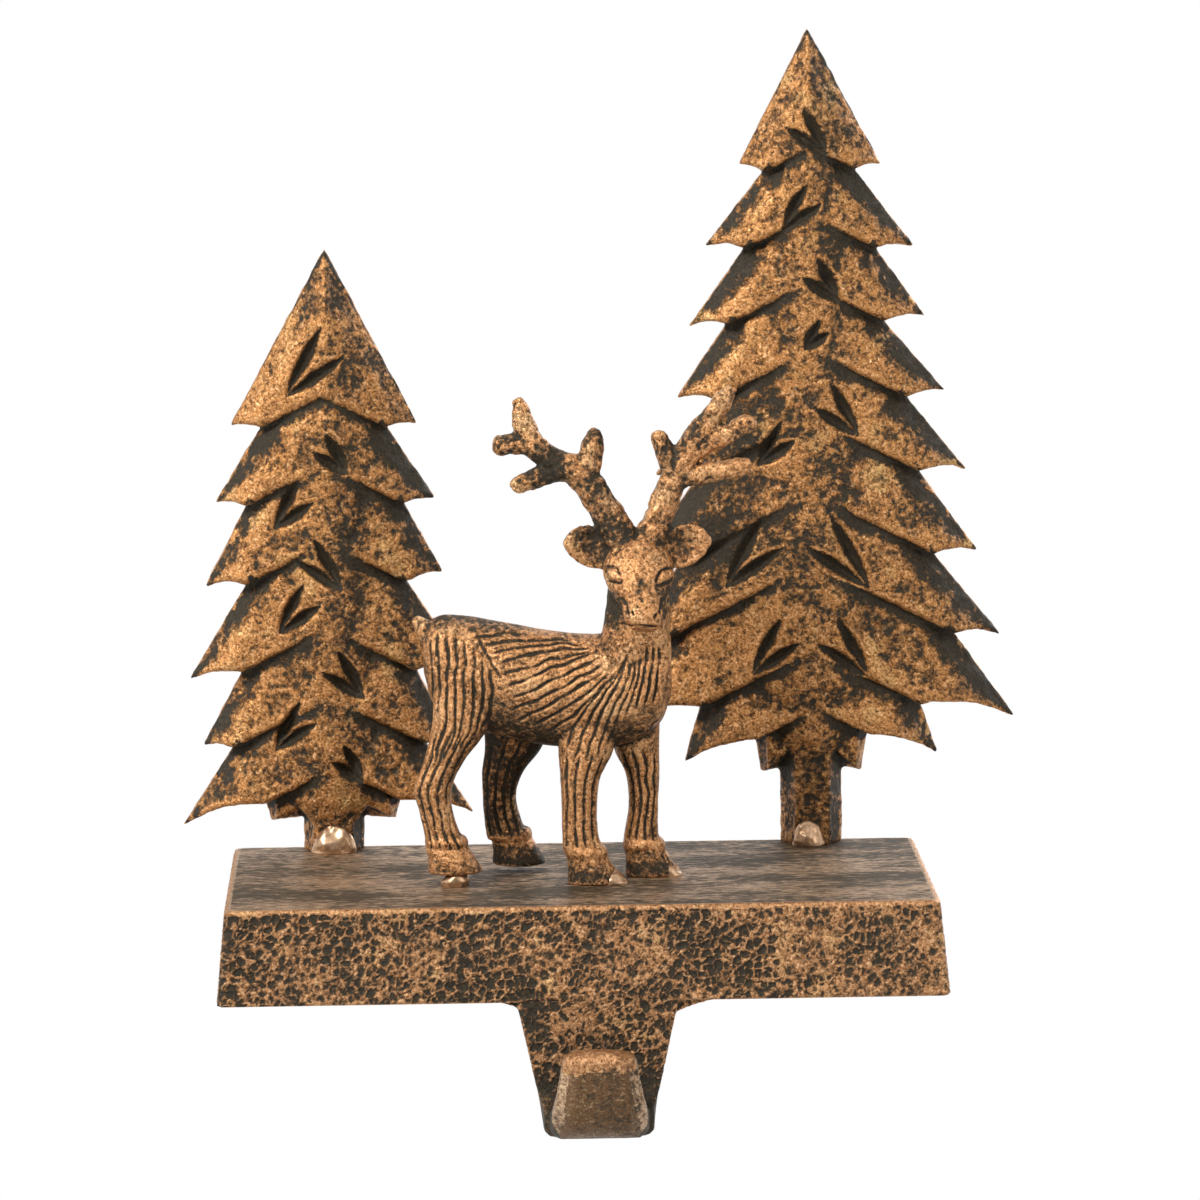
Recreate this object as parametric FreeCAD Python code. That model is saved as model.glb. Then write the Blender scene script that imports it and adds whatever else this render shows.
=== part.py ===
"""Mantel stocking holder: a stag and two fir trees, cast separately and welded to a hollow
cast base, whose hook hangs over the front edge of the mantel.

Millimetres. +X is to the right seen from the front, +Y towards the wall, +Z up.
The origin is the middle of the seat on the mantel: z = 0 is the mantel's top, under the pads.
"""

import FreeCAD, Part
import math
import os

V = FreeCAD.Vector

# Base casting
BASE_WIDTH = 153.5          # along X, at the bottom rim
BASE_DEPTH = 76.0           # along Y, at the bottom rim
BASE_HEIGHT = 20.0
BASE_DRAFT = 1.9            # how far each side leans in between the rim and the top
BASE_WALL = 4.0
BASE_TOP_PLATE = 5.0
BASE_CORNER_ROUND = 1.6
BASE_EDGE_ROUND = 0.8
ROUND_STEPS = 4             # facets around a quarter turn of those two
LAND_DIAMETER = 15.0        # round lands in the hollow's corners, which carry the pads
LAND_INSET = 9.5            # from the rim's side to the land's middle
LAND_SETBACK = 16.0         # from the rim's front or rear, so that no pad shows from the front

# Non-slip pads
PAD_DIAMETER = 11.0
PAD_THICKNESS = 2.0
PAD_SIDES = 28

# Hook, cast in one with the base's front wall
HOOK_X = 2.8                # the casting has its hook a little right of centre
HOOK_PLATE = 5.0
HOOK_GAP = 8.0              # between plate and tongue, where the stocking's loop hangs
HOOK_TONGUE = 6.5
HOOK_DROP = 22.0            # from the base's rim to the bottom of the throat
HOOK_BEND = 6.0             # metal under the throat
HOOK_TIP_RISE = 14.0        # top of the tongue above the bottom of the throat
HOOK_ROOT_WIDTH = 34.0
HOOK_FOOT_WIDTH = 21.0
HOOK_TIP_WIDTH = 14.5
HOOK_BEVEL = 3.0            # on both sides of the tongue's face
HOOK_FLARE_REACH = 15.0     # webs that spread under the rim on both sides of the plate
HOOK_FLARE_DROP = 5.0
HOOK_FLARE_SETBACK = 1.5

# Trees, with flat backs that stand a little inside the base's rear edge
TREE_BACK_INSET = 0.8
TREE_EDGE = 4.2             # thickness at the branch tips
TREE_CREST = 9.0            # thickness along the middle
TREE_STEP = 1.8             # how far a branch's lower edge stands over the next branch
TREE_BEVEL = 1.1            # rise of the bevel on the branches' upper edges, per mm
TREE_BEVEL_EDGE = 2.6       # thickness left at the outer end of that bevel
TREE_LIP_SLOPE = 0.5        # how steeply the branches' lower edges climb to the middle
TREE_CORE_EDGE = 6.6        # thickness of the middle ridge along its sides
TREE_CORE_SHARE = 0.5       # its half width, as a share of the notches' reach
TRUNK_DEPTH = 5.5
TRUNK_RIB_DEPTH = 7.0

# Each branch: reach and height of its tip, then reach and height of the notch under it.
# Reach is from the trunk's middle and height from the base's top.
TALL_X = BASE_WIDTH * 0.3407
TALL_APEX = 178.7           # height of the top
TALL_RIGHT = (
    (16.0, 149.0, 9.9, 148.4),
    (23.2, 131.0, 14.4, 131.2),
    (25.6, 115.8, 16.2, 115.3),
    (30.0, 99.4, 21.0, 98.7),
    (34.6, 81.9, 23.6, 82.5),
    (37.0, 64.0, 26.8, 64.2),
    (42.1, 45.2, 31.2, 46.6),
    (45.3, 26.9, 23.9, 31.1),
    (28.1, 19.0, 12.4, 24.6),
)
TALL_LEFT = (
    (15.1, 149.4, 9.7, 147.9),
    (22.7, 131.6, 13.7, 131.6),
    (26.1, 114.3, 17.7, 115.1),
    (29.1, 98.5, 20.6, 98.7),
    (34.0, 81.3, 23.6, 82.5),
    (37.0, 63.6, 26.8, 64.2),
    (42.1, 45.0, 31.2, 46.6),
    (45.3, 26.9, 24.1, 31.1),
    (28.0, 17.9, 12.0, 24.0),
)
TALL_TRUNK_WIDTH = 13.5
TALL_RIB_WIDTH = 7.4
TALL_ROOT_TIP = (11.0, 15.8)    # small point on each side of the trunk

SHORT_X = BASE_WIDTH * -0.3446
SHORT_APEX = 132.2
SHORT_RIGHT = (
    (19.7, 93.6, 12.8, 93.5),
    (23.4, 77.2, 16.2, 76.8),
    (24.8, 61.0, 16.6, 59.6),
    (29.0, 40.6, 18.4, 40.0),
    (27.0, 23.4, 20.2, 23.8),
    (31.1, 7.1, 15.0, 11.4),
)
SHORT_LEFT = (
    (21.2, 93.8, 14.4, 93.7),
    (24.7, 77.0, 17.9, 76.6),
    (27.4, 58.3, 18.0, 59.5),
    (31.3, 37.9, 19.3, 40.2),
    (28.5, 23.3, 21.6, 23.4),
    (33.1, 5.6, 14.8, 11.1),
)
SHORT_TRUNK_WIDTH = 13.2
SHORT_RIB_WIDTH = 8.4
SHORT_ROOT_TIP = (13.6, 6.6)

# Carved notches, two gouges that meet at a point: the point's x and height, the side it
# faces (-1 left, 1 right) and the length of the long gouge
TALL_NOTCHES = (
    (4.0, 151.6, 1, 12.0),
    (-6.0, 135.4, -1, 11.5),
    (6.6, 119.6, 1, 11.5),
    (-1.5, 109.5, -1, 7.5),
    (10.8, 90.0, 1, 14.0),
    (-11.6, 84.2, -1, 11.0),
    (-19.0, 57.5, -1, 17.5),
    (12.8, 56.8, 1, 19.0),
    (-13.5, 38.0, -1, 14.5),
    (12.6, 37.2, 1, 15.5),
)
SHORT_NOTCHES = (
    (-8.9, 100.5, -1, 17.5),
    (4.6, 83.4, 1, 10.5),
    (-12.0, 71.6, -1, 12.0),
    (3.0, 58.0, 1, 13.5),
    (-11.4, 48.6, -1, 12.8),
    (7.4, 34.0, 1, 12.5),
    (-12.6, 22.8, -1, 12.5),
    (7.0, 15.6, 1, 9.5),
)
NOTCH_STEEP = 64.0          # degrees above level, the long gouge
NOTCH_SHALLOW = 33.0        # degrees above level, the short gouge
NOTCH_SHORT_SHARE = 0.74
NOTCH_WIDTH = 4.8
NOTCH_DEPTH = 2.4
NOTCH_SETBACK = 1.5         # how far the branches' faces lie behind the crest, on average

# Stag. Every section is x, y, height above the base's top, half size along x, half size
# along y, measured from the stag's own place on the base.
STAG_X = 0.0
STAG_Y = 0.0
TORSO = (
    (-32.6, -3.0, 49.0, 4.0, 4.5),
    (-30.6, -3.0, 47.0, 9.2, 7.6),
    (-26.0, -3.0, 45.2, 11.8, 9.0),
    (-16.0, -3.8, 43.2, 12.3, 9.6),
    (-6.0, -4.6, 41.2, 12.4, 9.4),
    (4.0, -5.4, 40.6, 12.2, 9.2),
    (12.0, -6.0, 42.0, 12.2, 8.6),
    (17.5, -6.2, 44.0, 10.4, 6.8),
    (20.0, -6.2, 46.0, 6.5, 4.4),
)
NECK = (
    (10.2, -6.2, 44.0, 8.6, 7.4),
    (12.4, -7.4, 52.5, 7.4, 6.6),
    (13.0, -8.4, 59.0, 6.8, 6.0),
    (13.0, -8.8, 66.0, 6.2, 5.4),
)
NEAR_HIND_LEG = (
    (-24.0, -7.6, 45.0, 6.6, 5.0),
    (-24.8, -8.4, 34.5, 6.2, 4.8),
    (-28.6, -9.0, 26.4, 4.3, 4.0),
    (-31.0, -9.4, 20.8, 4.05, 3.6),
    (-30.4, -9.6, 15.8, 3.6, 3.4),
    (-28.9, -9.8, 10.0, 3.9, 3.6),
    (-28.2, -9.9, 7.0, 4.6, 4.2),
)
FAR_HIND_LEG = (
    (-15.0, 1.2, 42.0, 7.0, 4.8),
    (-13.2, 2.6, 29.5, 6.6, 4.6),
    (-16.0, 3.6, 21.6, 4.4, 4.0),
    (-16.7, 4.0, 16.6, 3.6, 3.5),
    (-16.2, 4.2, 12.0, 3.9, 3.5),
    (-15.0, 4.4, 7.0, 4.5, 3.9),
)
NEAR_FORE_LEG = (
    (3.0, -8.0, 38.0, 7.2, 5.2),
    (1.6, -9.0, 28.0, 5.8, 4.8),
    (0.4, -9.6, 22.6, 4.3, 4.2),
    (0.1, -9.8, 16.6, 3.8, 3.8),
    (0.3, -10.0, 10.0, 3.9, 3.7),
    (1.2, -10.1, 6.4, 4.6, 4.2),
)
FAR_FORE_LEG = (
    (12.2, -3.8, 38.0, 5.6, 4.8),
    (12.6, -2.8, 28.0, 4.9, 4.4),
    (13.9, -2.4, 22.0, 3.6, 3.9),
    (14.0, -2.3, 15.2, 3.2, 3.6),
    (13.5, -2.2, 9.0, 3.7, 3.5),
    (13.8, -2.2, 5.8, 4.3, 3.9),
)
# Hooves: x and y of the middle, then the height of the sole
NEAR_HIND_HOOF = (-27.3, -10.1, 2.6)
FAR_HIND_HOOF = (-13.4, 4.5, 1.5)
NEAR_FORE_HOOF = (2.4, -10.4, 0.0)
FAR_FORE_HOOF = (15.0, -2.4, 0.0)
HOOF_HEIGHT = 6.4
HOOF_LENGTH = 11.6
HOOF_WIDTH = 9.2
HOOF_TOP_SHARE = 0.78
HOOF_TOE = 1.6              # how far the sole runs forward of the hoof's top

# Head, turned to the front: sections from the nape to the nose, with half width across
# and half size at right angles to the head's axis
HEAD = (
    (12.9, -5.6, 70.6, 3.6, 3.0),
    (13.0, -7.4, 69.6, 6.0, 5.6),
    (13.1, -10.6, 67.6, 7.5, 6.4),
    (13.4, -13.4, 64.4, 6.7, 5.6),
    (13.8, -16.0, 60.4, 4.7, 4.3),
    (14.0, -17.8, 57.6, 4.2, 3.6),
    (14.0, -19.0, 55.8, 2.8, 2.2),
)
BROW = ((8.3, -13.6, 66.7), (18.0, -13.6, 66.5))
BROW_RADIUS = 2.3
EAR_LENGTH = 10.4
EAR_HALF_HEIGHT = 4.5
EAR_THICKNESS = 3.4
EAR_ROWS = ((0.0, 0.8), (0.3, 1.0), (0.6, 0.95), (0.85, 0.6), (1.0, 0.2))
EAR_CUP = 0.7               # the hollow's share of the ear's height
EAR_ROOT = (7.6, -9.4, 71.2)
EAR_RISE = 1.8
TAIL = ((-29.0, -3.6, 50.5, 2.6), (-32.0, -3.8, 53.8, 2.3), (-34.4, -4.0, 56.6, 0.9))

# Antlers: x, y, height and radius along each beam, then the tines from root to point
LEFT_BEAM = (
    (10.2, -9.0, 72.5, 3.7),
    (6.6, -8.6, 79.0, 3.4),
    (3.2, -8.2, 84.6, 3.2),
    (-0.6, -8.0, 88.6, 3.0),
    (-5.9, -8.0, 91.4, 2.7),
    (-9.5, -8.0, 95.0, 2.6),
    (-11.2, -8.0, 99.8, 2.1),
    (-12.2, -8.0, 103.6, 1.1),
)
LEFT_TINES = (
    ((-9.0, -8.0, 94.2, 2.4), (-16.0, -8.2, 93.7, 1.9)),
    ((-2.6, -8.0, 88.8, 2.7), (-11.9, -8.6, 85.3, 1.9)),
    ((2.0, -8.0, 86.0, 2.9), (4.3, -8.0, 95.4, 2.1)),
)
RIGHT_BEAM = (
    (15.4, -9.0, 72.5, 3.4),
    (18.2, -8.6, 79.6, 3.1),
    (21.0, -8.2, 86.4, 2.9),
    (24.2, -8.0, 92.2, 2.8),
    (28.6, -8.0, 98.6, 2.5),
    (31.8, -8.0, 102.9, 2.0),
    (33.7, -8.0, 105.5, 1.1),
)
RIGHT_TINES = (
    ((21.2, -8.0, 87.6, 2.9), (17.6, -8.0, 95.4, 1.7)),
    ((25.6, -8.0, 92.4, 2.5), (37.0, -8.4, 98.0, 1.9)),
    ((23.2, -8.0, 86.6, 2.5), (36.2, -8.8, 88.8, 1.8)),
)

# Weld beads: half sizes along x, y and z
TALL_BEAD = (3.6, 2.6, 5.4)
SHORT_BEAD = (5.0, 2.8, 6.0)
HIND_BEAD = (3.0, 2.8, 3.4)
FORE_BEAD = (3.4, 2.8, 3.0)
FAR_FORE_BEAD = (2.6, 2.4, 2.4)

BEAD_TURNS = (0, 28, 54, 76)    # degrees up the dome, for its rings
BEAD_SINK = (0.6, 1.2)      # how far a bead sits to the right of a hoof's middle, and forward

# Coat lines, carved into both flanks: x and height of points along each
FLANK_LINES = (
    ((-22.3, 53.2), (-16.9, 53.5), (-11.1, 53.6)),
    ((-20.0, 51.6), (-12.6, 52.4), (-6.7, 52.4), (-0.6, 51.9)),
    ((-18.7, 49.9), (-11.1, 51.1), (-3.8, 51.5), (1.2, 51.1)),
    ((-17.0, 47.8), (-9.9, 49.6), (-3.8, 50.3), (2.4, 50.4)),
    ((-15.6, 45.7), (-9.7, 47.3), (-3.9, 48.8), (3.4, 49.8)),
    ((-14.9, 43.2), (-8.8, 45.4), (-3.6, 47.4), (4.3, 50.0)),
    ((-14.2, 40.6), (-7.6, 43.2), (-2.8, 45.5), (4.9, 48.9)),
    ((-13.7, 38.0), (-6.9, 41.2), (-1.4, 43.9), (5.1, 47.5)),
    ((-12.9, 35.6), (-7.1, 38.7), (-1.8, 41.7), (5.5, 46.2)),
    ((-9.9, 34.3), (-5.5, 36.7), (0.5, 40.3), (6.4, 45.6)),
    ((-5.8, 33.5), (-1.9, 35.9), (3.0, 40.3), (7.4, 45.4)),
    ((-3.0, 29.5), (-0.3, 35.1), (4.2, 40.9), (8.4, 45.9)),
    ((-1.3, 26.7), (1.7, 34.2), (6.0, 41.5), (9.4, 47.1)),
    ((1.3, 26.7), (4.1, 35.0), (7.7, 42.2), (10.4, 49.4)),
    ((3.9, 27.4), (6.3, 35.0), (9.3, 42.1), (11.3, 47.7)),
    ((6.2, 29.3), (8.4, 36.2), (10.8, 42.3), (12.5, 48.2)),
    ((10.0, 36.2), (12.2, 43.3), (13.6, 49.4)),
    ((12.0, 38.1), (14.0, 45.2), (14.9, 51.0)),
    ((14.0, 38.1), (15.6, 45.0), (16.2, 51.0)),
    ((-29.5, 53.8), (-29.3, 44.4), (-30.4, 33.4)),
    ((-27.6, 53.5), (-27.6, 44.4), (-28.4, 34.3), (-31.0, 25.7)),
    ((-25.7, 52.7), (-25.8, 41.9), (-26.4, 33.3), (-29.0, 26.9)),
    ((-23.8, 52.5), (-23.9, 44.3), (-24.3, 36.0), (-27.0, 28.6)),
    ((-21.9, 51.6), (-22.0, 41.8), (-22.4, 34.5), (-24.8, 30.1)),
    ((-20.2, 48.9), (-20.1, 41.8), (-20.8, 34.7), (-22.6, 32.0)),
    ((-18.3, 46.7), (-18.1, 41.8), (-18.9, 36.1), (-20.4, 33.9)),
    ((-21.4, 53.4), (-18.9, 49.6), (-16.0, 44.6)),
)
LEG_LINE_TOP = 24.0         # the legs' own lines run from here to the hooves
LEG_LINE_SHARES = (-0.5, 0.0, 0.5)
GROOVE_WIDTH = 1.1
GROOVE_DEPTH = 0.75
GROOVE_END = 0.15           # share of the depth left at a groove's ends
GROOVE_CLEAR = 0.4          # how far a groove's tool stands out of the coat
CUFF_HEIGHT = 2.2           # band over each hoof
CUFF_PROUD = 0.6

TORSO_SIDES = 16            # facets around the stag's torso and head
LIMB_SIDES = 8             # facets around its legs, antlers and the beads
FILL = 1                    # sections put between each two of a table

SLACK = 1.0                 # how far tools run past what they cut
REACH = 250.0               # larger than any tree


def base_top():
    return PAD_THICKNESS + BASE_HEIGHT


def tree_back():
    return BASE_DEPTH / 2 - BASE_DRAFT - TREE_BACK_INSET


def polygon(points):
    """Closed wire through the points."""
    corners = [V(*p) for p in points]
    return Part.makePolygon(corners + corners[:1])


def prism(points, direction):
    """Solid swept from a flat polygon."""
    return Part.Face(polygon(points)).extrude(V(*direction))


def smooth(rows, between=FILL):
    """The rows of a table with others put between them, on a curve through them all."""
    before = [2 * a - b for a, b in zip(rows[0], rows[1])]
    after = [2 * a - b for a, b in zip(rows[-1], rows[-2])]
    knots = [before] + list(rows) + [after]
    filled = []
    for i in range(len(rows) - 1):
        for step in range(between + 1):
            t = step / (between + 1)
            filled.append([
                b + (c - a) * t / 2 + (2 * a - 5 * b + 4 * c - d) * t**2 / 2
                + (3 * b - a - 3 * c + d) * t**3 / 2
                for a, b, c, d in zip(*knots[i:i + 4])])
    return filled + [list(rows[-1])]


def faceted(rings):
    """Closed solid through rings of points, in flat triangles between flat ends."""
    faces = [Part.Face(polygon(rings[0])), Part.Face(polygon(rings[-1]))]
    for low, high in zip(rings, rings[1:]):
        for i in range(len(low)):
            j = (i + 1) % len(low)
            faces.append(Part.Face(polygon([low[i], low[j], high[j]])))
            faces.append(Part.Face(polygon([low[i], high[j], high[i]])))
    shell = Part.Shell(faces)
    shell.sewShape()
    solid = Part.Solid(shell)
    if solid.Volume < 0:
        solid.reverse()
    return solid


# Base casting


def frustum(inset, z0, z1):
    """The base's outer form, drawn in by inset, between two heights and with its draft."""
    wires = []
    for z in (z0, z1):
        lean = BASE_DRAFT * (z - PAD_THICKNESS) / BASE_HEIGHT
        x = BASE_WIDTH / 2 - inset - lean
        y = BASE_DEPTH / 2 - inset - lean
        wires.append(polygon([(-x, -y, z), (x, -y, z), (x, y, z), (-x, y, z)]))
    return Part.makeLoft(wires, True, True)


def pad_places():
    x = BASE_WIDTH / 2 - LAND_INSET
    y = BASE_DEPTH / 2 - LAND_SETBACK
    return {
        "pad_front_left": (-x, -y),
        "pad_front_right": (x, -y),
        "pad_rear_left": (-x, y),
        "pad_rear_right": (x, y),
    }


def outline(inset, z):
    """Points along the base's rounded outline at a height, drawn in by inset and its draft."""
    lean = BASE_DRAFT * (z - PAD_THICKNESS) / BASE_HEIGHT
    x = BASE_WIDTH / 2 - inset - lean - BASE_CORNER_ROUND
    y = BASE_DEPTH / 2 - inset - lean - BASE_CORNER_ROUND
    points = []
    for i, middle in enumerate((V(x, y, z), V(-x, y, z), V(-x, -y, z), V(x, -y, z))):
        for step in range(ROUND_STEPS + 1):
            turn = math.pi / 2 * (i + step / ROUND_STEPS)
            arm = V(math.cos(turn), math.sin(turn), 0) * BASE_CORNER_ROUND
            points.append(middle + arm)
    return points


def shell():
    """Hollow box, open below, with rounded outer corners and a land for each pad."""
    rings = [outline(0, PAD_THICKNESS)]
    for step in range(ROUND_STEPS + 1):
        turn = math.pi / 2 * step / ROUND_STEPS
        rings.append(outline(BASE_EDGE_ROUND * (1 - math.cos(turn)),
                             base_top() - BASE_EDGE_ROUND * (1 - math.sin(turn))))
    outer = faceted(rings)
    hollow = frustum(BASE_WALL, PAD_THICKNESS - SLACK, base_top() - BASE_TOP_PLATE)
    for x, y in pad_places().values():
        land = Part.makeCylinder(LAND_DIAMETER / 2, BASE_HEIGHT, V(x, y, PAD_THICKNESS - SLACK))
        hollow = hollow.cut(land)
    return outer.cut(hollow)


def hook_profile():
    """J-shaped section of the hook, at x = 0."""
    front = -BASE_DEPTH / 2
    back = front + HOOK_PLATE
    inner = front - HOOK_GAP
    outer = inner - HOOK_TONGUE
    throat = PAD_THICKNESS - HOOK_DROP
    bend = throat + HOOK_GAP / 2
    tip = throat + HOOK_TIP_RISE - HOOK_TONGUE / 2
    root = PAD_THICKNESS + BASE_HEIGHT / 2

    def p(y, z):
        return V(0, y, z)

    edges = [
        Part.LineSegment(p(front, root), p(front, bend)),
        Part.Arc(p(front, bend), p(front - HOOK_GAP / 2, throat), p(inner, bend)),
        Part.LineSegment(p(inner, bend), p(inner, tip)),
        Part.Arc(p(inner, tip), p((inner + outer) / 2, tip + HOOK_TONGUE / 2), p(outer, tip)),
        Part.LineSegment(p(outer, tip), p(outer, bend)),
        Part.Arc(p(outer, bend), p((outer + back) / 2, throat - HOOK_BEND), p(back, bend)),
        Part.LineSegment(p(back, bend), p(back, root)),
        Part.LineSegment(p(back, root), p(front, root)),
    ]
    return Part.Face(Part.Wire([e.toShape() for e in edges]))


def hook_slice(z0, half0, z1, half1, y_face, y_rear, bevel):
    """Tapered block between two heights, with its front corners bevelled."""
    wires = []
    for z, half in ((z0, half0), (z1, half1)):
        wires.append(polygon([
            (HOOK_X - half, y_rear, z),
            (HOOK_X - half, y_face + bevel, z),
            (HOOK_X - half + bevel, y_face, z),
            (HOOK_X + half - bevel, y_face, z),
            (HOOK_X + half, y_face + bevel, z),
            (HOOK_X + half, y_rear, z),
        ]))
    return Part.makeLoft(wires, True, True)


def hook():
    """Plate that drops past the mantel's edge and turns up into a tapered tongue."""
    front = -BASE_DEPTH / 2
    back = front + HOOK_PLATE
    face = front - HOOK_GAP - HOOK_TONGUE
    middle = front - HOOK_GAP / 2
    bottom = PAD_THICKNESS - HOOK_DROP - HOOK_BEND
    tip = PAD_THICKNESS - HOOK_DROP + HOOK_TIP_RISE
    bar = hook_profile().extrude(V(HOOK_ROOT_WIDTH, 0, 0))
    bar.translate(V(HOOK_X - HOOK_ROOT_WIDTH / 2, 0, 0))
    plate = bar.common(hook_slice(
        bottom, HOOK_FOOT_WIDTH / 2, PAD_THICKNESS, HOOK_ROOT_WIDTH / 2, middle, back, 0.001))
    tongue = bar.common(hook_slice(
        bottom, HOOK_FOOT_WIDTH / 2, tip, HOOK_TIP_WIDTH / 2, face, middle, HOOK_BEVEL))
    root = bar.common(frustum(0, PAD_THICKNESS, base_top()))
    return plate.fuse([tongue, root])


def hook_flare(side):
    """Web with a hollow lower edge, between the rim and the plate's side."""
    front = -BASE_DEPTH / 2
    x0 = HOOK_X + side * (HOOK_ROOT_WIDTH / 2 - HOOK_FLARE_DROP)
    x1 = HOOK_X + side * (HOOK_ROOT_WIDTH / 2 + HOOK_FLARE_REACH)
    xm = HOOK_X + side * (HOOK_ROOT_WIDTH / 2 + HOOK_FLARE_REACH * 0.2)
    y = front + HOOK_FLARE_SETBACK
    top = PAD_THICKNESS + SLACK
    low = PAD_THICKNESS - HOOK_FLARE_DROP
    edges = [
        Part.LineSegment(V(x0, y, top), V(x1, y, top)),
        Part.LineSegment(V(x1, y, top), V(x1, y, PAD_THICKNESS)),
        Part.Arc(V(x1, y, PAD_THICKNESS), V(xm, y, PAD_THICKNESS - HOOK_FLARE_DROP * 0.45),
                 V(x0, y, low)),
        Part.LineSegment(V(x0, y, low), V(x0, y, top)),
    ]
    web = Part.Face(Part.Wire([e.toShape() for e in edges]))
    return web.extrude(V(0, BASE_WALL - HOOK_FLARE_SETBACK, 0))


def base_casting():
    return shell().fuse([hook(), hook_flare(-1), hook_flare(1)]).removeSplitter()


# Trees, modelled with the back on the plane y = 0, the front towards -Y, the trunk's
# middle at x = 0 and the foot at z = 0


def under_plane(thickness):
    """Block behind a slanted front; thickness gives its depth at an x and a height."""
    corners = ((-REACH, -REACH), (REACH, -REACH), (REACH, REACH), (-REACH, REACH))
    rear = polygon([(x, REACH, h) for x, h in corners])
    front = polygon([(x, -thickness(x, h), h) for x, h in corners])
    return Part.makeLoft([rear, front], True, True)


def plate(edges_or_points):
    """Flat plate as thick as the crest, from an outline in x and height."""
    return prism([(x, 0, h) for x, h in edges_or_points], (0, -TREE_CREST, 0))


def branch(above, tip, notch):
    """One branch to the right: a plate whose front rises to its lower edge and to the trunk,
    with a bevel along its upper edge. above and notch are the notches over and under it."""
    lip = notch[1] + TREE_LIP_SLOPE * notch[0]
    over = min(SLACK, above[0])
    root = above[1] + TREE_LIP_SLOPE * above[0] + over
    sag = 0.1 * (tip[0] - notch[0])
    low = V((tip[0] + notch[0]) / 2, 0, (tip[1] + notch[1]) / 2 + sag)
    path = [V(-over, 0, root), V(above[0], 0, above[1]), V(tip[0], 0, tip[1])]
    if above[0] == 0:
        del path[1]
    rest = [V(notch[0], 0, notch[1]), V(-over, 0, lip), path[0]]
    edges = [Part.makePolygon(path)]
    edges += [Part.Arc(path[-1], low, rest[0]).toShape(), Part.makePolygon(rest)]
    body = Part.Face(Part.Wire(edges)).extrude(V(0, -TREE_CREST, 0))
    rise = TREE_STEP / (above[1] - notch[1])
    fall = (TREE_CREST - TREE_EDGE - rise * (lip - tip[1])) / tip[0]
    body = body.common(under_plane(
        lambda x, h: TREE_CREST - fall * x - rise * (h - lip)))
    run = math.hypot(tip[0] - above[0], above[1] - tip[1])
    across = ((above[1] - tip[1]) / run, (tip[0] - above[0]) / run)

    def bevel(x, h):
        depth = (tip[0] - x) * across[0] + (tip[1] - h) * across[1]
        return TREE_BEVEL_EDGE + TREE_BEVEL * depth

    return body.common(under_plane(bevel))


def branches(apex, rows):
    """All the branches of one side, drawn to the right."""
    above = (0.0, apex)
    solids = []
    for reach, height, notch_reach, notch_height in rows:
        solids.append(branch(above, (reach, height), (notch_reach, notch_height)))
        above = (notch_reach, notch_height)
    return solids


def core(left, right):
    """Ridge up the middle, which the branches grow from and their lower edges fade into."""
    rings = []
    for i in range(len(right)):
        x0 = -left[i][2] * TREE_CORE_SHARE
        x1 = right[i][2] * TREE_CORE_SHARE
        h = (left[i][3] + right[i][3]) / 2
        rings.append([(x0, 0, h), (x0, -TREE_CORE_EDGE, h), (0, -TREE_CREST, h),
                      (x1, -TREE_CORE_EDGE, h), (x1, 0, h)])
    return faceted(rings)


def trunk(width, rib_width, rows, root_tip):
    """Trunk with a rib down its front and a small point on each side of its top."""
    top = rows[-1][3] + TREE_CREST
    slab = Part.makeBox(width, TRUNK_DEPTH, top, V(-width / 2, -TRUNK_DEPTH, 0))
    rib = Part.makeBox(rib_width, TRUNK_RIB_DEPTH, top, V(-rib_width / 2, -TRUNK_RIB_DEPTH, 0))
    points = []
    for side in (-1, 1):
        notch = rows[-1]
        points.append(plate([
            (side * width / 4, top),
            (side * notch[2], notch[3]),
            (side * root_tip[0], root_tip[1]),
            (side * (width / 2 - SLACK), root_tip[1] + 0.9),
            (side * width / 4, root_tip[1] + 0.9),
        ]).common(under_plane(
            lambda x, h, side=side: TRUNK_RIB_DEPTH - 0.2 * side * x)))
    return slab.fuse([rib] + points)


def gouge(x, h, angle, length, surface):
    """Long pointed tool from a point up its slope, with a V section."""
    run = V(math.cos(math.radians(angle)), 0, math.sin(math.radians(angle)))
    side = V(-run.z, 0, run.x) * (NOTCH_WIDTH / 2)
    front = V(x, -TREE_CREST - SLACK, h)
    middle = front + run * (length / 2)
    tip = V(middle.x, -surface + NOTCH_DEPTH, middle.z)
    corners = [front, middle + side, front + run * length, middle - side]
    faces = [Part.Face(Part.makePolygon(corners + corners[:1]))]
    for a, b in zip(corners, corners[1:] + corners[:1]):
        faces.append(Part.Face(Part.makePolygon([a, b, tip, a])))
    solid = Part.Solid(Part.Shell(faces))
    if solid.Volume < 0:
        solid.reverse()
    return solid


def carve(tree, notches):
    """Cut the pairs of gouges into the front."""
    tools = []
    for x, h, side, length in notches:
        for angle, share in ((NOTCH_STEEP, 1.0), (NOTCH_SHALLOW, NOTCH_SHORT_SHARE)):
            turned = angle if side < 0 else 180 - angle
            tools.append(gouge(x, h, turned, length * share, TREE_CREST - NOTCH_SETBACK))
    return tree.cut(tools)


def tree(trunk_x, apex, left, right, width, rib_width, root_tip, notches):
    solids = branches(apex, right)
    for solid in branches(apex, left):
        solids.append(solid.mirror(V(0, 0, 0), V(1, 0, 0)))
    solids += [core(left, right), trunk(width, rib_width, right, root_tip)]
    body = carve(solids[0].fuse(solids[1:]), notches)
    body.translate(V(trunk_x, tree_back(), base_top()))
    return body.removeSplitter()


def tall_tree():
    return tree(TALL_X, TALL_APEX, TALL_LEFT, TALL_RIGHT, TALL_TRUNK_WIDTH, TALL_RIB_WIDTH,
                TALL_ROOT_TIP, TALL_NOTCHES)


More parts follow.
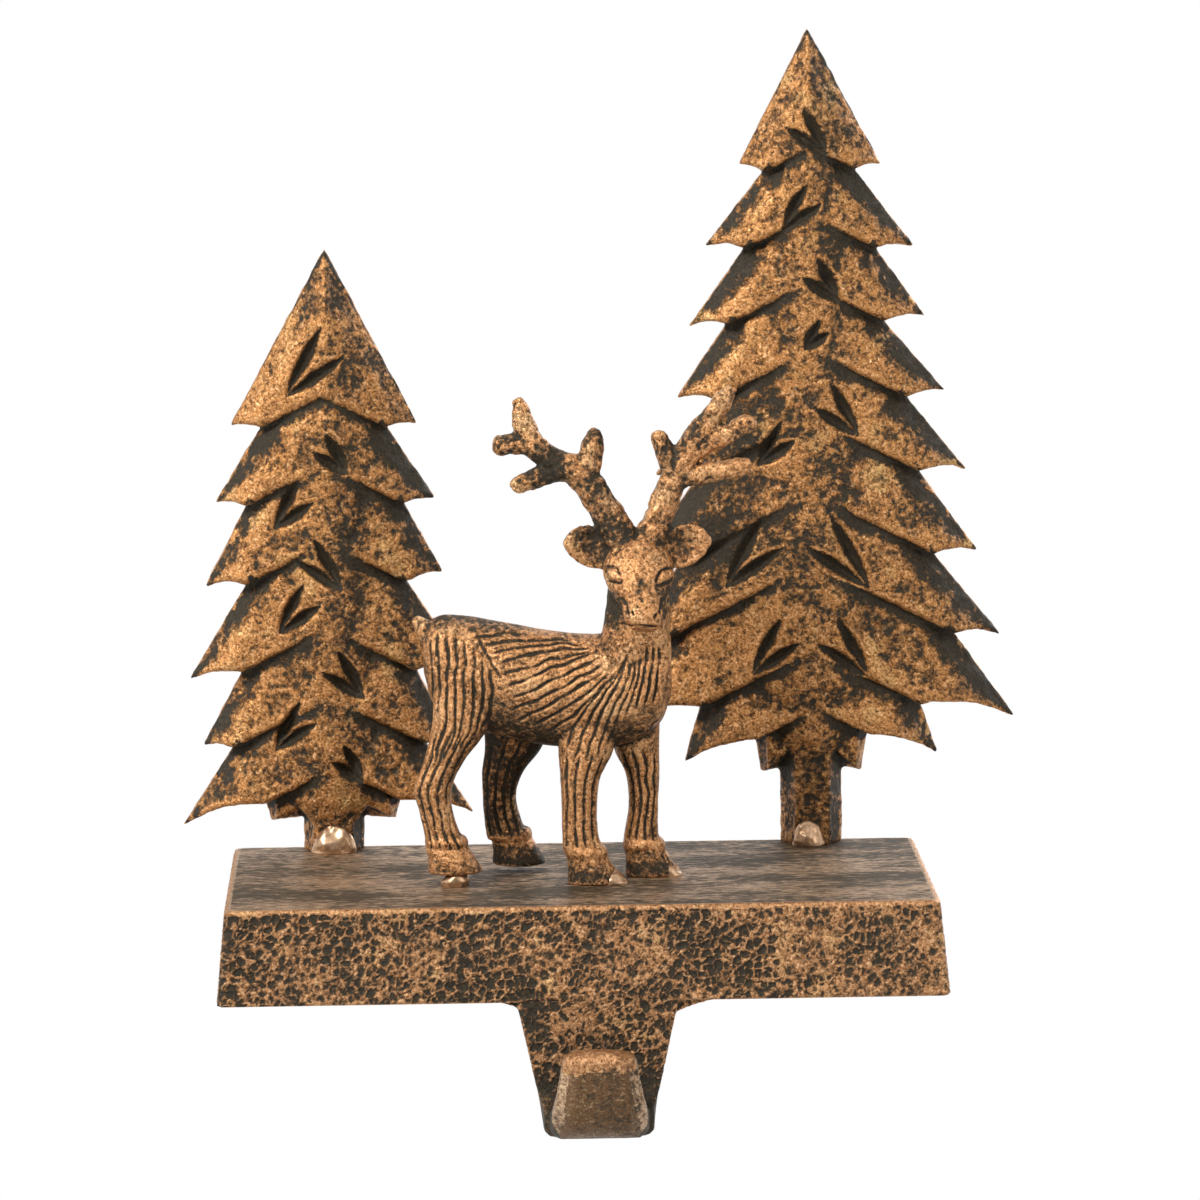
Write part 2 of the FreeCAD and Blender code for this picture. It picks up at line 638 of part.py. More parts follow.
def short_tree():
    return tree(SHORT_X, SHORT_APEX, SHORT_LEFT, SHORT_RIGHT, SHORT_TRUNK_WIDTH,
                SHORT_RIB_WIDTH, SHORT_ROOT_TIP, SHORT_NOTCHES)


# Stag, modelled over the base's top as z = 0 and then put in its place


def ring(centre, across, up, half_across, half_up, sides):
    """Points on an oval about a centre, in the plane of two directions."""
    points = []
    for i in range(sides):
        turn = 2 * math.pi * (i + 0.5) / sides
        offset = across * (half_across * math.cos(turn)) + up * (half_up * math.sin(turn))
        points.append(centre + offset)
    return points


def limb(sections, sides=LIMB_SIDES):
    """Carved body through level ovals."""
    rings = []
    for x, y, h, a, b in sections:
        rings.append(ring(V(x, y, h), V(1, 0, 0), V(0, 1, 0), a, b, sides))
    return faceted(rings)


def torso():
    """Carved body through upright ovals, from the rump to the chest."""
    rings = []
    for x, y, h, a, b in TORSO:
        rings.append(ring(V(x, y, h), V(0, 0, 1), V(0, 1, 0), a, b, TORSO_SIDES))
    return faceted(rings)


def heading(rows, i):
    """Direction of the path through the rows' points, at one of them."""
    before = V(*rows[max(i - 1, 0)][:3])
    after = V(*rows[min(i + 1, len(rows) - 1)][:3])
    return (after - before).normalize()


def head():
    """Carved body through ovals at right angles to the line from the nape to the nose."""
    rings = []
    rows = smooth(HEAD)
    for i, (x, y, h, a, b) in enumerate(rows):
        across = V(1, 0, 0)
        rings.append(ring(V(x, y, h), across, heading(rows, i).cross(across), a, b, TORSO_SIDES))
    return faceted(rings)


def taper(stations):
    """Round tapering bar through points, each with its radius."""
    rings = []
    for i, (x, y, h, r) in enumerate(stations):
        across = V(0, 1, 0)
        up = heading(stations, i).cross(across).normalize()
        rings.append(ring(V(x, y, h), across, up, r, r, LIMB_SIDES))
    return faceted(rings)


def tine(root, point):
    """Bar from its root in the beam to a blunt point."""
    x, y, h, r = point
    run = (V(x, y, h) - V(*root[:3])).normalize()
    end = V(x, y, h) + run * (r * 0.8)
    return taper([root, point, (end.x, end.y, end.z, r * 0.5)])


def antler(beam, tines):
    return [taper(smooth(beam))] + [tine(*ends) for ends in tines]


def knob(x, y, h, radius):
    """Small ball-like swelling."""
    rows = []
    for turn in (-60, -20, 20, 60):
        half = radius * math.cos(math.radians(turn))
        rows.append((x, y, h + radius * math.sin(math.radians(turn)), half, half))
    return limb(rows)


def hoof(place):
    """Hoof with a flat sole that runs forward of its top."""
    x, y, h = place
    half_x, half_y = HOOF_LENGTH / 2, HOOF_WIDTH / 2
    top = HOOF_TOP_SHARE
    return limb([
        (x + HOOF_TOE / 2, y, h, half_x, half_y),
        (x + HOOF_TOE / 4, y, h + HOOF_HEIGHT / 2, half_x * 0.96, half_y * 0.98),
        (x - HOOF_TOE / 2, y, h + HOOF_HEIGHT, half_x * top, half_y * top),
    ])


def ear(side):
    """Leaf-shaped ear with a hollow towards the front."""
    x0, y0, h0 = EAR_ROOT
    middle = HEAD[1][0]
    root = V(middle + side * (middle - x0), y0, h0)
    rings = []
    cups = []
    for share, height in EAR_ROWS:
        centre = root + V(side * EAR_LENGTH * share, 0, EAR_RISE * share)
        half = EAR_HALF_HEIGHT * height
        thick = EAR_THICKNESS / 2 * height
        rings.append(ring(centre, V(0, 0, 1), V(0, 1, 0), half, thick, LIMB_SIDES))
        if 0.0 < share < 1.0:
            cup = centre - V(0, EAR_THICKNESS * 0.55, 0)
            deep = EAR_THICKNESS * 0.4
            cups.append(ring(cup, V(0, 0, 1), V(0, 1, 0), half * EAR_CUP, deep, LIMB_SIDES))
    return faceted(rings).cut(faceted(cups))


def cuff(place):
    """Band that stands out over a hoof."""
    x, y, h = place
    low = h + HOOF_HEIGHT - CUFF_PROUD
    half_x = HOOF_LENGTH / 2 * HOOF_TOP_SHARE
    half_y = HOOF_WIDTH / 2 * HOOF_TOP_SHARE
    rows = []
    for share, proud in ((0.0, 0.0), (0.3, CUFF_PROUD), (0.7, CUFF_PROUD), (1.0, 0.0)):
        rows.append((x - HOOF_TOE / 2, y, low + CUFF_HEIGHT * share,
                     half_x + proud - CUFF_PROUD / 2, half_y + proud - CUFF_PROUD / 2))
    return limb(rows)


def oval_edge(middle, wide, share):
    """How far an oval reaches forward, at a share of its other half size."""
    return middle - wide * math.sqrt(1 - share**2)


def coat_edge(x, h):
    """Y of the stag's near surface at an x and a height."""
    found = []
    for a, b in zip(TORSO, TORSO[1:]):
        if a[0] <= x <= b[0]:
            t = (x - a[0]) / (b[0] - a[0])
            _, y, middle, tall, wide = [p + (q - p) * t for p, q in zip(a, b)]
            if abs(h - middle) < tall:
                found.append(oval_edge(y, wide, (h - middle) / tall))
    for rows in (NECK, NEAR_HIND_LEG, FAR_HIND_LEG, NEAR_FORE_LEG, FAR_FORE_LEG):
        for a, b in zip(rows, rows[1:]):
            if min(a[2], b[2]) <= h <= max(a[2], b[2]):
                t = (h - a[2]) / (b[2] - a[2])
                middle, y, _, long, wide = [p + (q - p) * t for p, q in zip(a, b)]
                if abs(x - middle) < long:
                    found.append(oval_edge(y, wide, (x - middle) / long))
    return min(found)


def groove(line):
    """Tool with a V section that follows a line over the coat and fades at both ends."""
    rings = []
    last = len(line) - 1
    for i, (x, h) in enumerate(line):
        y = coat_edge(x, h)
        a, b = line[max(i - 1, 0)], line[min(i + 1, last)]
        run = V(b[0] - a[0], 0, b[1] - a[1]).normalize()
        fade = GROOVE_END if i in (0, last) else 1.0
        depth = GROOVE_DEPTH * fade
        half = GROOVE_WIDTH / 2 * fade * (depth + GROOVE_CLEAR) / depth
        out = y - GROOVE_CLEAR
        rings.append([
            V(x + run.z * half, out, h - run.x * half),
            V(x - run.z * half, out, h + run.x * half),
            V(x, y + depth, h),
        ])
    return faceted(rings)


def leg_lines(leg):
    """Lines down a leg, at shares of its half size from its middle."""
    rows = [row for row in smooth(leg) if row[2] <= LEG_LINE_TOP]
    return [[(x + long * share, h) for x, _, h, long, _ in rows] for share in LEG_LINE_SHARES]


def coat():
    """Tools for the lines of the near flank and of every leg's near side."""
    lines = list(FLANK_LINES)
    for leg in (NEAR_HIND_LEG, FAR_HIND_LEG, NEAR_FORE_LEG, FAR_FORE_LEG):
        lines += leg_lines(leg)
    return [groove(line) for line in lines]


def stag():
    places = (NEAR_HIND_HOOF, FAR_HIND_HOOF, NEAR_FORE_HOOF, FAR_FORE_HOOF)
    solids = [torso(), limb(NECK, TORSO_SIDES), head(), taper(TAIL)]
    solids += [limb(smooth(leg)) for leg in (
        NEAR_HIND_LEG, FAR_HIND_LEG, NEAR_FORE_LEG, FAR_FORE_LEG)]
    solids += [hoof(place) for place in places] + [cuff(place) for place in places]
    solids += [knob(*place, BROW_RADIUS) for place in BROW]
    solids += [ear(-1), ear(1)]
    solids += antler(LEFT_BEAM, LEFT_TINES) + antler(RIGHT_BEAM, RIGHT_TINES)
    carved = solids[0].fuse(solids[1:]).cut(coat())
    body = max(carved.Solids, key=lambda solid: solid.Volume)
    body.translate(V(STAG_X, STAG_Y, base_top()))
    return body


# Weld beads, pads and the whole


def bead(x, y, sizes, neighbours):
    """Domed bead on the base's top, less what it is welded to."""
    rows = []
    for turn in BEAD_TURNS:
        wide = math.cos(math.radians(turn))
        rise = math.sin(math.radians(turn)) * sizes[2]
        rows.append((x, y, base_top() + rise, sizes[0] * wide, sizes[1] * wide))
    return limb(rows).cut(neighbours)


def beads(tall, short, animal):
    trunk_face = tree_back() - TRUNK_RIB_DEPTH
    hind_x, hind_y, _ = NEAR_HIND_HOOF
    fore_x, fore_y, _ = NEAR_FORE_HOOF
    far_x, far_y, _ = FAR_FORE_HOOF
    toe = HOOF_LENGTH * 0.4
    right, forward = BEAD_SINK
    return {
        "weld_tall_tree": bead(TALL_X - 1.0, trunk_face, TALL_BEAD, [tall]),
        "weld_short_tree": bead(SHORT_X, trunk_face, SHORT_BEAD, [short]),
        "weld_near_hind_hoof": bead(
            STAG_X + hind_x + right, STAG_Y + hind_y - forward, HIND_BEAD, [animal]),
        "weld_near_fore_hoof": bead(
            STAG_X + fore_x + toe, STAG_Y + fore_y - forward, FORE_BEAD, [animal]),
        "weld_far_fore_hoof": bead(
            STAG_X + far_x + toe, STAG_Y + far_y - forward, FAR_FORE_BEAD, [animal]),
    }


def model():
    nodes = {
        "base_casting": base_casting(),
        "tall_tree": tall_tree(),
        "short_tree": short_tree(),
        "stag": stag(),
    }
    nodes.update(beads(nodes["tall_tree"], nodes["short_tree"], nodes["stag"]))
    for name, (x, y) in pad_places().items():
        edge = ring(V(x, y, 0), V(1, 0, 0), V(0, 1, 0), PAD_DIAMETER / 2, PAD_DIAMETER / 2,
                    PAD_SIDES)
        nodes[name] = prism(edge, (0, 0, PAD_THICKNESS))
    return nodes


os.makedirs("parts", exist_ok=True)
for name, shape in model().items():
    shape.exportStep("parts/" + name + ".step")
    box = shape.BoundBox
    print(name, len(shape.Solids), round(shape.Volume), shape.isValid(),
          [round(v, 1) for v in (box.XMin, box.YMin, box.ZMin, box.XMax, box.YMax, box.ZMax)])
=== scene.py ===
# %% [markdown]
# # A cast mantel stocking holder
# A hollow cast base sits on a mantel and its hook hangs over the edge. Two flat-backed fir
# trees and a stag are separate castings, welded on. The whole was blackened and then rubbed
# with copper, so raised metal shines and hollows stay dark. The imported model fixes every
# place and size, and the surfaces here are worked out over it with numpy.

# %% The frame
import bpy
import numpy as np
from mathutils import Matrix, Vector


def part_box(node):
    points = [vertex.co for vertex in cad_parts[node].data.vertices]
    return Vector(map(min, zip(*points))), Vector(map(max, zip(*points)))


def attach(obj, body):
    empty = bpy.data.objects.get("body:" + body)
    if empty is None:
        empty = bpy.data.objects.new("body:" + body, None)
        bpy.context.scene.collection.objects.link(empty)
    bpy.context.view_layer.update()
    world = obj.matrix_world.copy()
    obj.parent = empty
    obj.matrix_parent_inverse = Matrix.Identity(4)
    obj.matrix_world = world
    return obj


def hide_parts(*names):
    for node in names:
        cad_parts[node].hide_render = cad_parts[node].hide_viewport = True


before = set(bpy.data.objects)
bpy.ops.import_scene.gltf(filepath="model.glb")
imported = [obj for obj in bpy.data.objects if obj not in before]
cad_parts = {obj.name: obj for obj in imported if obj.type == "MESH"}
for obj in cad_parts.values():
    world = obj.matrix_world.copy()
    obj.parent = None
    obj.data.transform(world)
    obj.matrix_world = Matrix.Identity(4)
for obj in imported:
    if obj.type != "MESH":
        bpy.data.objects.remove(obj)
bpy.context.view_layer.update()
MM = 0.001
BASE_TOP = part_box("tall_tree")[0][2] / MM
TREE_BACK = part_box("tall_tree")[1][1] / MM
print("base top at", round(BASE_TOP, 2), "mm, tree backs at", round(TREE_BACK, 2), "mm")

# %% [markdown]
# ## The camera
# The photograph was taken from a little above and slightly left, with a long lens. Its place
# was found by fitting a pinhole camera to the base's corners, so it is given as a position,
# three angles and a focal length in the photograph's own pixels.

# %% The camera
PHOTO_SIDE = 1200
FOCAL_PIXELS = 5902.0
SENSOR = 36.0               # millimetres across
CAMERA_PLACE = np.array([-30.0, -1246.0, 264.0])
YAW, PITCH, ROLL = np.radians([1.62, 8.34, -0.6])


def camera_axes(yaw, pitch, roll):
    """Right, up and forward: forward turns by yaw and dips by pitch, then roll spins the
    first two about it."""
    right = np.array([np.cos(yaw), -np.sin(yaw), 0.0])
    forward = np.array([np.sin(yaw) * np.cos(pitch), np.cos(yaw) * np.cos(pitch), -np.sin(pitch)])
    up = np.cross(right, forward)
    turned = np.cos(roll) * right + np.sin(roll) * up
    return turned, np.cos(roll) * up - np.sin(roll) * right, forward


def stand(made, place, axes):
    """Puts an object at a place in metres, turned so that its own axes lie along the given
    ones."""
    turn = Matrix(np.column_stack(axes).tolist()).to_4x4()
    made.matrix_world = Matrix.Translation(place) @ turn
    bpy.context.scene.collection.objects.link(made)


right, up, forward = camera_axes(YAW, PITCH, ROLL)
lens = bpy.data.cameras.new("camera")
lens.sensor_width = SENSOR
lens.lens = SENSOR * FOCAL_PIXELS / PHOTO_SIDE
lens.clip_end = 50.0
camera = bpy.data.objects.new("camera", lens)
stand(camera, CAMERA_PLACE * MM, [right, up, -forward])
bpy.context.scene.camera = camera
print("lens", round(lens.lens, 1), "mm")

# %% [markdown]
# ## Making meshes from arrays
# Every surface is a grid of points: one row for each station along a path, and one column for
# each step around the section. These helpers turn grids into closed meshes, and melt shapes
# that overlap into one skin with a voxel remesh, as metal in a mould has only one skin.


# %% Helpers for grids
def unit(v):
    """Vectors divided by their lengths, along the last axis."""
    return v / np.maximum(np.linalg.norm(v, axis=-1, keepdims=True), 1e-12)


def clamp(values):
    """The values, held between 0 and 1."""
    return np.clip(values, 0, 1)


def spline(rows, count):
    """Catmull-Rom curve through the rows: each piece blends its four nearest rows with cubic
    weights, so every column of the table runs smoothly."""
    p = np.asarray(rows, float)
    p = np.vstack([2 * p[0] - p[1], p, 2 * p[-1] - p[-2]])
    t = np.linspace(0, len(rows) - 1, count)
    i = np.minimum(t.astype(int), len(rows) - 2)
    f = (t - i)[:, None]
    a, b, c, d = p[i], p[i + 1], p[i + 2], p[i + 3]
    return 0.5 * (2 * b + (c - a) * f + (2 * a - 5 * b + 4 * c - d) * f**2
                  + (3 * b - a - 3 * c + d) * f**3)


def closed_tube(grid):
    """Points and faces of a tube from its grid of rings, with each end closed on a pole."""
    rows, around = grid.shape[:2]
    points = np.vstack([grid.reshape(-1, 3), grid[0].mean(0), grid[-1].mean(0)])
    number = np.arange(rows * around).reshape(rows, around)
    beside = np.roll(number, -1, axis=1)
    quads = np.stack([number[:-1], beside[:-1], beside[1:], number[1:]], -1).reshape(-1, 4)
    first, last = np.full(around, rows * around), np.full(around, rows * around + 1)
    low = np.stack([beside[0], number[0], first], -1)
    high = np.stack([number[-1], beside[-1], last], -1)
    return points, [quads, low, high]


# %% Meshes and objects
def join(shapes):
    """Several (points, faces) in one, each one's face numbers moved past those before it."""
    points, faces, start = [], [], 0
    for p, groups in shapes:
        points.append(p)
        faces += [group + start for group in groups]
        start += len(p)
    return np.vstack(points), faces


def mesh_of(name, points, faces):
    """A mesh from points in millimetres and arrays of face corners."""
    mesh = bpy.data.meshes.new(name)
    corners = [face for group in faces for face in group.tolist()]
    mesh.from_pydata((points * MM).tolist(), [], corners)
    mesh.validate()
    return mesh


def piece(name, mesh, *finishes):
    """An object at the origin, smooth-shaded, with its finishes."""
    mesh.shade_smooth()
    for finish in finishes:
        mesh.materials.append(finish)
    made = bpy.data.objects.new(name, mesh)
    bpy.context.scene.collection.objects.link(made)
    return made


def read(items, field, kind, wide):
    """One field of a mesh's items, as a row of numbers for each item."""
    flat = np.empty(len(items) * wide, kind)
    items.foreach_get(field, flat)
    return flat.reshape(-1, wide)


def skin_of(mesh):
    """Every point's place in millimetres, and its normal."""
    return read(mesh.vertices, "co", float, 3) / MM, read(mesh.vertices, "normal", float, 3)


def move_points(mesh, points):
    mesh.vertices.foreach_set("co", (points * MM).ravel())
    mesh.update()


# %% Melting shapes into one skin
def one_skin(name, shapes, voxel, smooths):
    """Overlapping shapes melted into one skin of even squares, then relaxed: each relaxing
    step moves a point half way to the middle of its neighbours."""
    raw = piece(name + "_raw", mesh_of(name, *join(shapes)))
    melt = raw.modifiers.new("melt", "REMESH")
    melt.mode = "VOXEL"
    melt.voxel_size = voxel * MM
    relax = raw.modifiers.new("relax", "SMOOTH")
    relax.factor = 0.5
    relax.iterations = smooths
    graph = bpy.context.evaluated_depsgraph_get()
    mesh = bpy.data.meshes.new_from_object(raw.evaluated_get(graph))
    bpy.data.objects.remove(raw)
    mesh.name = name
    print(name, len(mesh.vertices), "points")
    return mesh


# %% [markdown]
# ## Where the rub reaches
# Copper was rubbed over black, so its share at a point depends on how far the point stands
# out. That is measured on the mesh itself: a point's height over the mean of its neighbours,
# spread over wider and wider neighbourhoods, is large on ridges and negative in hollows.


# %% Measuring ridges and hollows
def neighbour_mean(edges, values):
    """Mean of each point's neighbours' values, summed along the edges."""
    a, b = edges.T
    count = len(values)
    total = [np.bincount(a, column[b], count) + np.bincount(b, column[a], count)
             for column in values.T]
    shares = np.bincount(edges.ravel(), minlength=count)
    return np.stack(total, 1) / np.maximum(shares, 1)[:, None]


def relief(mesh, steps):
    """How far each point stands out, in millimetres: the point less its smoothed place, taken
    along the normal. More smoothing steps see wider ridges."""
    edges = read(mesh.edges, "vertices", np.int32, 2)
    start, normals = skin_of(mesh)
    soft = start
    for _ in range(steps):
        soft = neighbour_mean(edges, soft)
    return ((start - soft) * normals).sum(1)


def keep_rub(mesh, rub):
    """How far the rub reached each point, from -1 to 1, for the finish to read."""
    layer = mesh.attributes.new("rub", "FLOAT", "POINT")
    layer.data.foreach_set("value", np.clip(rub, -1, 1).astype(np.float32))


# %% [markdown]
# ## Natural unevenness
# A sand casting is never quite smooth. Value noise gives gentle swells, and cell noise gives
# the pits of the hammered faces: each cell has one seed point, and a point's two nearest
# seeds are equally far away exactly on the ridge between two pits.


# %% Noise worked out on whole arrays
def lattice(i, j, k, seed):
    """A repeatable number from 0 to 1 for each corner of a lattice."""
    mixed = (i * 374761393 + j * 668265263 + k * 2147483647 + seed * 974634777) & 0xFFFFFFFF
    mixed = ((mixed ^ (mixed >> 13)) * 1274126177) & 0xFFFFFFFF
    return ((mixed ^ (mixed >> 16)) & 0xFFFF) / 65535.0


def swells(points, size, seed):
    """Value noise from -1 to 1: corner numbers of a lattice blended with smooth weights."""
    p = points / size
    base = np.floor(p).astype(np.int64)
    f = p - base
    f = f * f * (3 - 2 * f)
    total = np.zeros(len(points))
    for corner in range(8):
        offset = np.array([corner & 1, corner >> 1 & 1, corner >> 2 & 1])
        weight = np.prod(np.where(offset, f, 1 - f), axis=1)
        cell = base + offset
        total += weight * lattice(*cell.T, seed)
    return total * 2 - 1


def pits(points, size, seed):
    """Distance to the nearest and the second nearest seed point, in cells."""
    p = points / size
    base = np.floor(p).astype(np.int64)
    nearest, second = np.full((2, len(p)), 9.0)
    for corner in range(27):
        offset = np.array([corner % 3, corner // 3 % 3, corner // 9]) - 1
        cell = base + offset
        place = np.stack([lattice(*cell.T, seed + n) for n in range(3)], 1)
        away = np.linalg.norm(cell + place - p, axis=1)
        second = np.minimum(second, np.maximum(away, nearest))
        nearest = np.minimum(nearest, away)
    return nearest, second


# %% [markdown]
# ## The finish
# Antique copper over black: a dark lacquer that is nearly matt, and worn copper that is metal.
# One mask decides between them. It reads the measured relief and breaks it up with noise at
# the size of the speckle, about a millimetre, so the copper ends in grains and not in a line.


# %% Material helpers
def linear(code):
    """sRGB hex to the linear colour that shaders use."""
    c = np.array([int(code[i:i + 2], 16) for i in (1, 3, 5)]) / 255.0
    c = np.where(c <= 0.04045, c / 12.92, ((c + 0.055) / 1.055) ** 2.4)
    return (*c, 1.0)


def add_node(tree, kind, inputs=None, **settings):
    """One node. Its inputs are values or the outputs of other nodes."""
    node = tree.nodes.new(kind)
    for name, value in settings.items():
        setattr(node, name, value)
    for name, value in (inputs or {}).items():
        if isinstance(value, bpy.types.NodeSocket):
            tree.links.new(value, node.inputs[name])
        else:
            node.inputs[name].default_value = value
    return node


def noise(tree, place, size, detail, **more):
    """Cloudy noise whose grains are so many millimetres across."""
    inputs = {"Vector": place, "Scale": 1 / (size * MM), "Detail": detail, **more}
    return add_node(tree, "ShaderNodeTexNoise", inputs).outputs["Fac"]


def arithmetic(tree, operation, *terms):
    """A Math node's result from numbers or other nodes' outputs."""
    return add_node(tree, "ShaderNodeMath", dict(enumerate(terms)), operation=operation).outputs[0]


def spread(tree, value, low, high, to_low=0.0, to_high=1.0, kind="LINEAR"):
    """The range from low to high stretched to another, whose ends nothing passes."""
    ends = {"From Min": low, "From Max": high, "To Min": to_low, "To Max": to_high}
    return add_node(tree, "ShaderNodeMapRange", {"Value": value, **ends},
                    interpolation_type=kind).outputs["Result"]


def blend(tree, share, first, second):
    """Two colours mixed, each a hex code or another node's output."""
    pair = [linear(colour) if isinstance(colour, str) else colour for colour in (first, second)]
    return add_node(tree, "ShaderNodeMix", {0: share, 6: pair[0], 7: pair[1]},
                    data_type="RGBA").outputs[2]


def new_material(name):
    material = bpy.data.materials.new(name)
    material.use_nodes = True
    tree = material.node_tree
    tree.nodes.clear()
    return material, tree


# %% Antique copper
SPECKLE = 1.1               # millimetres across one grain of the rub
DRIFT = 9.0                 # millimetres over which the rub's line wanders
DUST = 0.6                  # millimetres across one grain of either tone
BLACK = "#1D1A12"
SMOKE = "#463822"
COPPER = "#C2884F"
GOLD = "#CCA064"
BROWN = "#6A4629"
# Pale copper for the specks of painted highlight
PALE_GLINT = "#EAC79C"


def antique_copper(name, copper, gold, gold_share, cover, shine, black=BLACK, patchy=0.9,
                   mottle_and_glint=1.0, streak=1.0):
    """Black lacquer under rubbed copper. cover moves the line between them: more of it brings
    copper into the hollows. gold_share is how much of the copper has a golden wash, patchy is
    how far the line drifts from one place to the next, and mottle_and_glint is how far the
    copper's own tone runs to brown, and how strong the pale specks of painted highlight on it
    are. shine is the copper's roughness, and the pattern is streak times as long along x as
    across."""
    material, tree = new_material(name)
    place = add_node(tree, "ShaderNodeTexCoord").outputs["Object"]
    place = add_node(tree, "ShaderNodeMapping", {"Vector": place, "Scale": (1 / streak, 1, 1)})
    place = place.outputs["Vector"]
    rub = add_node(tree, "ShaderNodeAttribute", attribute_name="rub").outputs["Fac"]
    grain = noise(tree, place, SPECKLE, 5.0, Roughness=0.62, Distortion=0.5)
    drift = noise(tree, place, DRIFT, 3.0)
    fine = noise(tree, place, DUST, 4.0, Roughness=0.65, Distortion=0.8)
    mixed = arithmetic(tree, "MULTIPLY_ADD", grain, 1.9, rub)
    mixed = arithmetic(tree, "MULTIPLY_ADD", drift, patchy, mixed)
    line = 1.56 + patchy / 2 - cover
    mask = spread(tree, mixed, line - 0.26, line + 0.26, kind="SMOOTHSTEP")
    dark = blend(tree, spread(tree, fine, 0.4, 0.7), black, SMOKE)
    wash = spread(tree, drift, 0.62 - gold_share, 0.78 - gold_share)
    worn = spread(tree, fine, 0.36, 0.54, 1 - mottle_and_glint)
    # Pale specks over the copper: a painted highlight
    painted_glint = spread(tree, fine, 0.54, 0.70, 0.0, 0.75 * mottle_and_glint)
    tone = blend(tree, worn, BROWN, blend(tree, wash, copper, gold))
    colour = blend(tree, mask, dark, blend(tree, painted_glint, tone, PALE_GLINT))
    heap = arithmetic(tree, "ADD", arithmetic(tree, "ADD", grain, mask), fine)
    bump = add_node(tree, "ShaderNodeBump",
                    {"Strength": 0.8, "Distance": 0.32 * MM, "Height": heap}).outputs["Normal"]
    metal, rough = spread(tree, mask, 0, 1, 0.1, 0.75), spread(tree, mask, 0, 1, 0.55, shine)
    shader = add_node(tree, "ShaderNodeBsdfPrincipled", {
        "Base Color": colour, "Metallic": metal, "Roughness": rough, "Normal": bump,
        "Specular IOR Level": 0.3})
    add_node(tree, "ShaderNodeOutputMaterial", {"Surface": shader.outputs[0]})
    return material


tree_finish = antique_copper("antique_copper_on_trees", COPPER, GOLD, 0.04, 0.72, 0.35)
stag_finish = antique_copper("antique_copper_on_stag", "#D49862", "#DFB07C", 0.08, 0.67, 0.31)
base_finish = antique_copper("antique_copper_on_base", "#BC8A5E", "#CBA06C", 0.05, 0.58, 0.38)
top_finish = antique_copper("worn_brown_on_top", "#B3977A", "#BFA487", 0.0, 0.56, 0.40, "#352B1D",
                            1.5, 1.0, 3.0)
tongue_finish = antique_copper("worn_brown_on_tongue", "#684F37", "#735A40", 0.0, 0.58, 0.44,
                               "#3A2E20", 0.9, 0.5)

# %% [markdown]
# ## The fir trees
# Each tree is a flat-backed casting of overlapping branches. A branch is a tube of sections
# along its length: the back is flat, and the front rises to the branch's lower edge and to the
# trunk and falls away in a bevel along its upper edge, so each branch laps the next one.

# %% Tree sizes
EDGE = 4.2                  # thickness at the branch tips
CREST = 9.0                 # thickness along the middle
STEP = 1.8                  # how far a branch's lower edge stands over the next branch
LIP_SLOPE = 0.5             # how steeply that edge falls away from the trunk
BEVEL_EDGE = 2.4            # thickness at a branch's upper edge
BEVEL = 1.0                 # slope of the bevel there
ARCH_SHARE, ARCH_EDGE = 0.55, 6.4   # reach and edge thickness of the middle ridge
TRUNK_SIDE, TRUNK_FRONT = 1.6, 7.0  # thickness of the trunk at its sides and its front
# Rows of a tip's reach and height and those of the notch under it, from the top down
TALL_X, TALL_TOP = 52.3, 178.7
TALL_RIGHT = (
    (16, 149, 9.9, 148.4), (23.2, 131, 14.4, 131.2), (25.6, 115.8, 16.2, 115.3),
    (30, 99.4, 21, 98.7), (34.6, 81.9, 23.6, 82.5), (37, 64, 26.8, 64.2),
    (42.1, 45.2, 31.2, 46.6), (45.3, 26.9, 23.9, 31.1), (28.1, 19, 12.4, 24.6))
TALL_LEFT = (
    (15.1, 149.4, 9.7, 147.9), (22.7, 131.6, 13.7, 131.6), (26.1, 114.3, 17.7, 115.1),
    (29.1, 98.5, 20.6, 98.7), (34, 81.3, 23.6, 82.5), (37, 63.6, 26.8, 64.2),
    (42.1, 45, 31.2, 46.6), (45.3, 26.9, 24.1, 31.1), (28, 17.9, 12, 24))
SHORT_X, SHORT_TOP = -52.9, 132.2
SHORT_RIGHT = (
    (19.7, 93.6, 12.8, 93.5), (23.4, 77.2, 16.2, 76.8), (24.8, 61, 16.6, 59.6),
    (29, 40.6, 18.4, 40), (27, 23.4, 20.2, 23.8), (31.1, 7.1, 15, 11.4))
SHORT_LEFT = (
    (21.2, 93.8, 14.4, 93.7), (24.7, 77, 17.9, 76.6), (27.4, 58.3, 18, 59.5),
    (31.3, 37.9, 19.3, 40.2), (28.5, 23.3, 21.6, 23.4), (33.1, 5.6, 14.8, 11.1))


# %% One branch
def soft_min(a, b, width):
    """The lower of two, with the corner between them rounded over a width."""
    gap = np.clip((width - np.abs(a - b)) / width, 0, None)
    return np.minimum(a, b) - gap * gap * width / 4


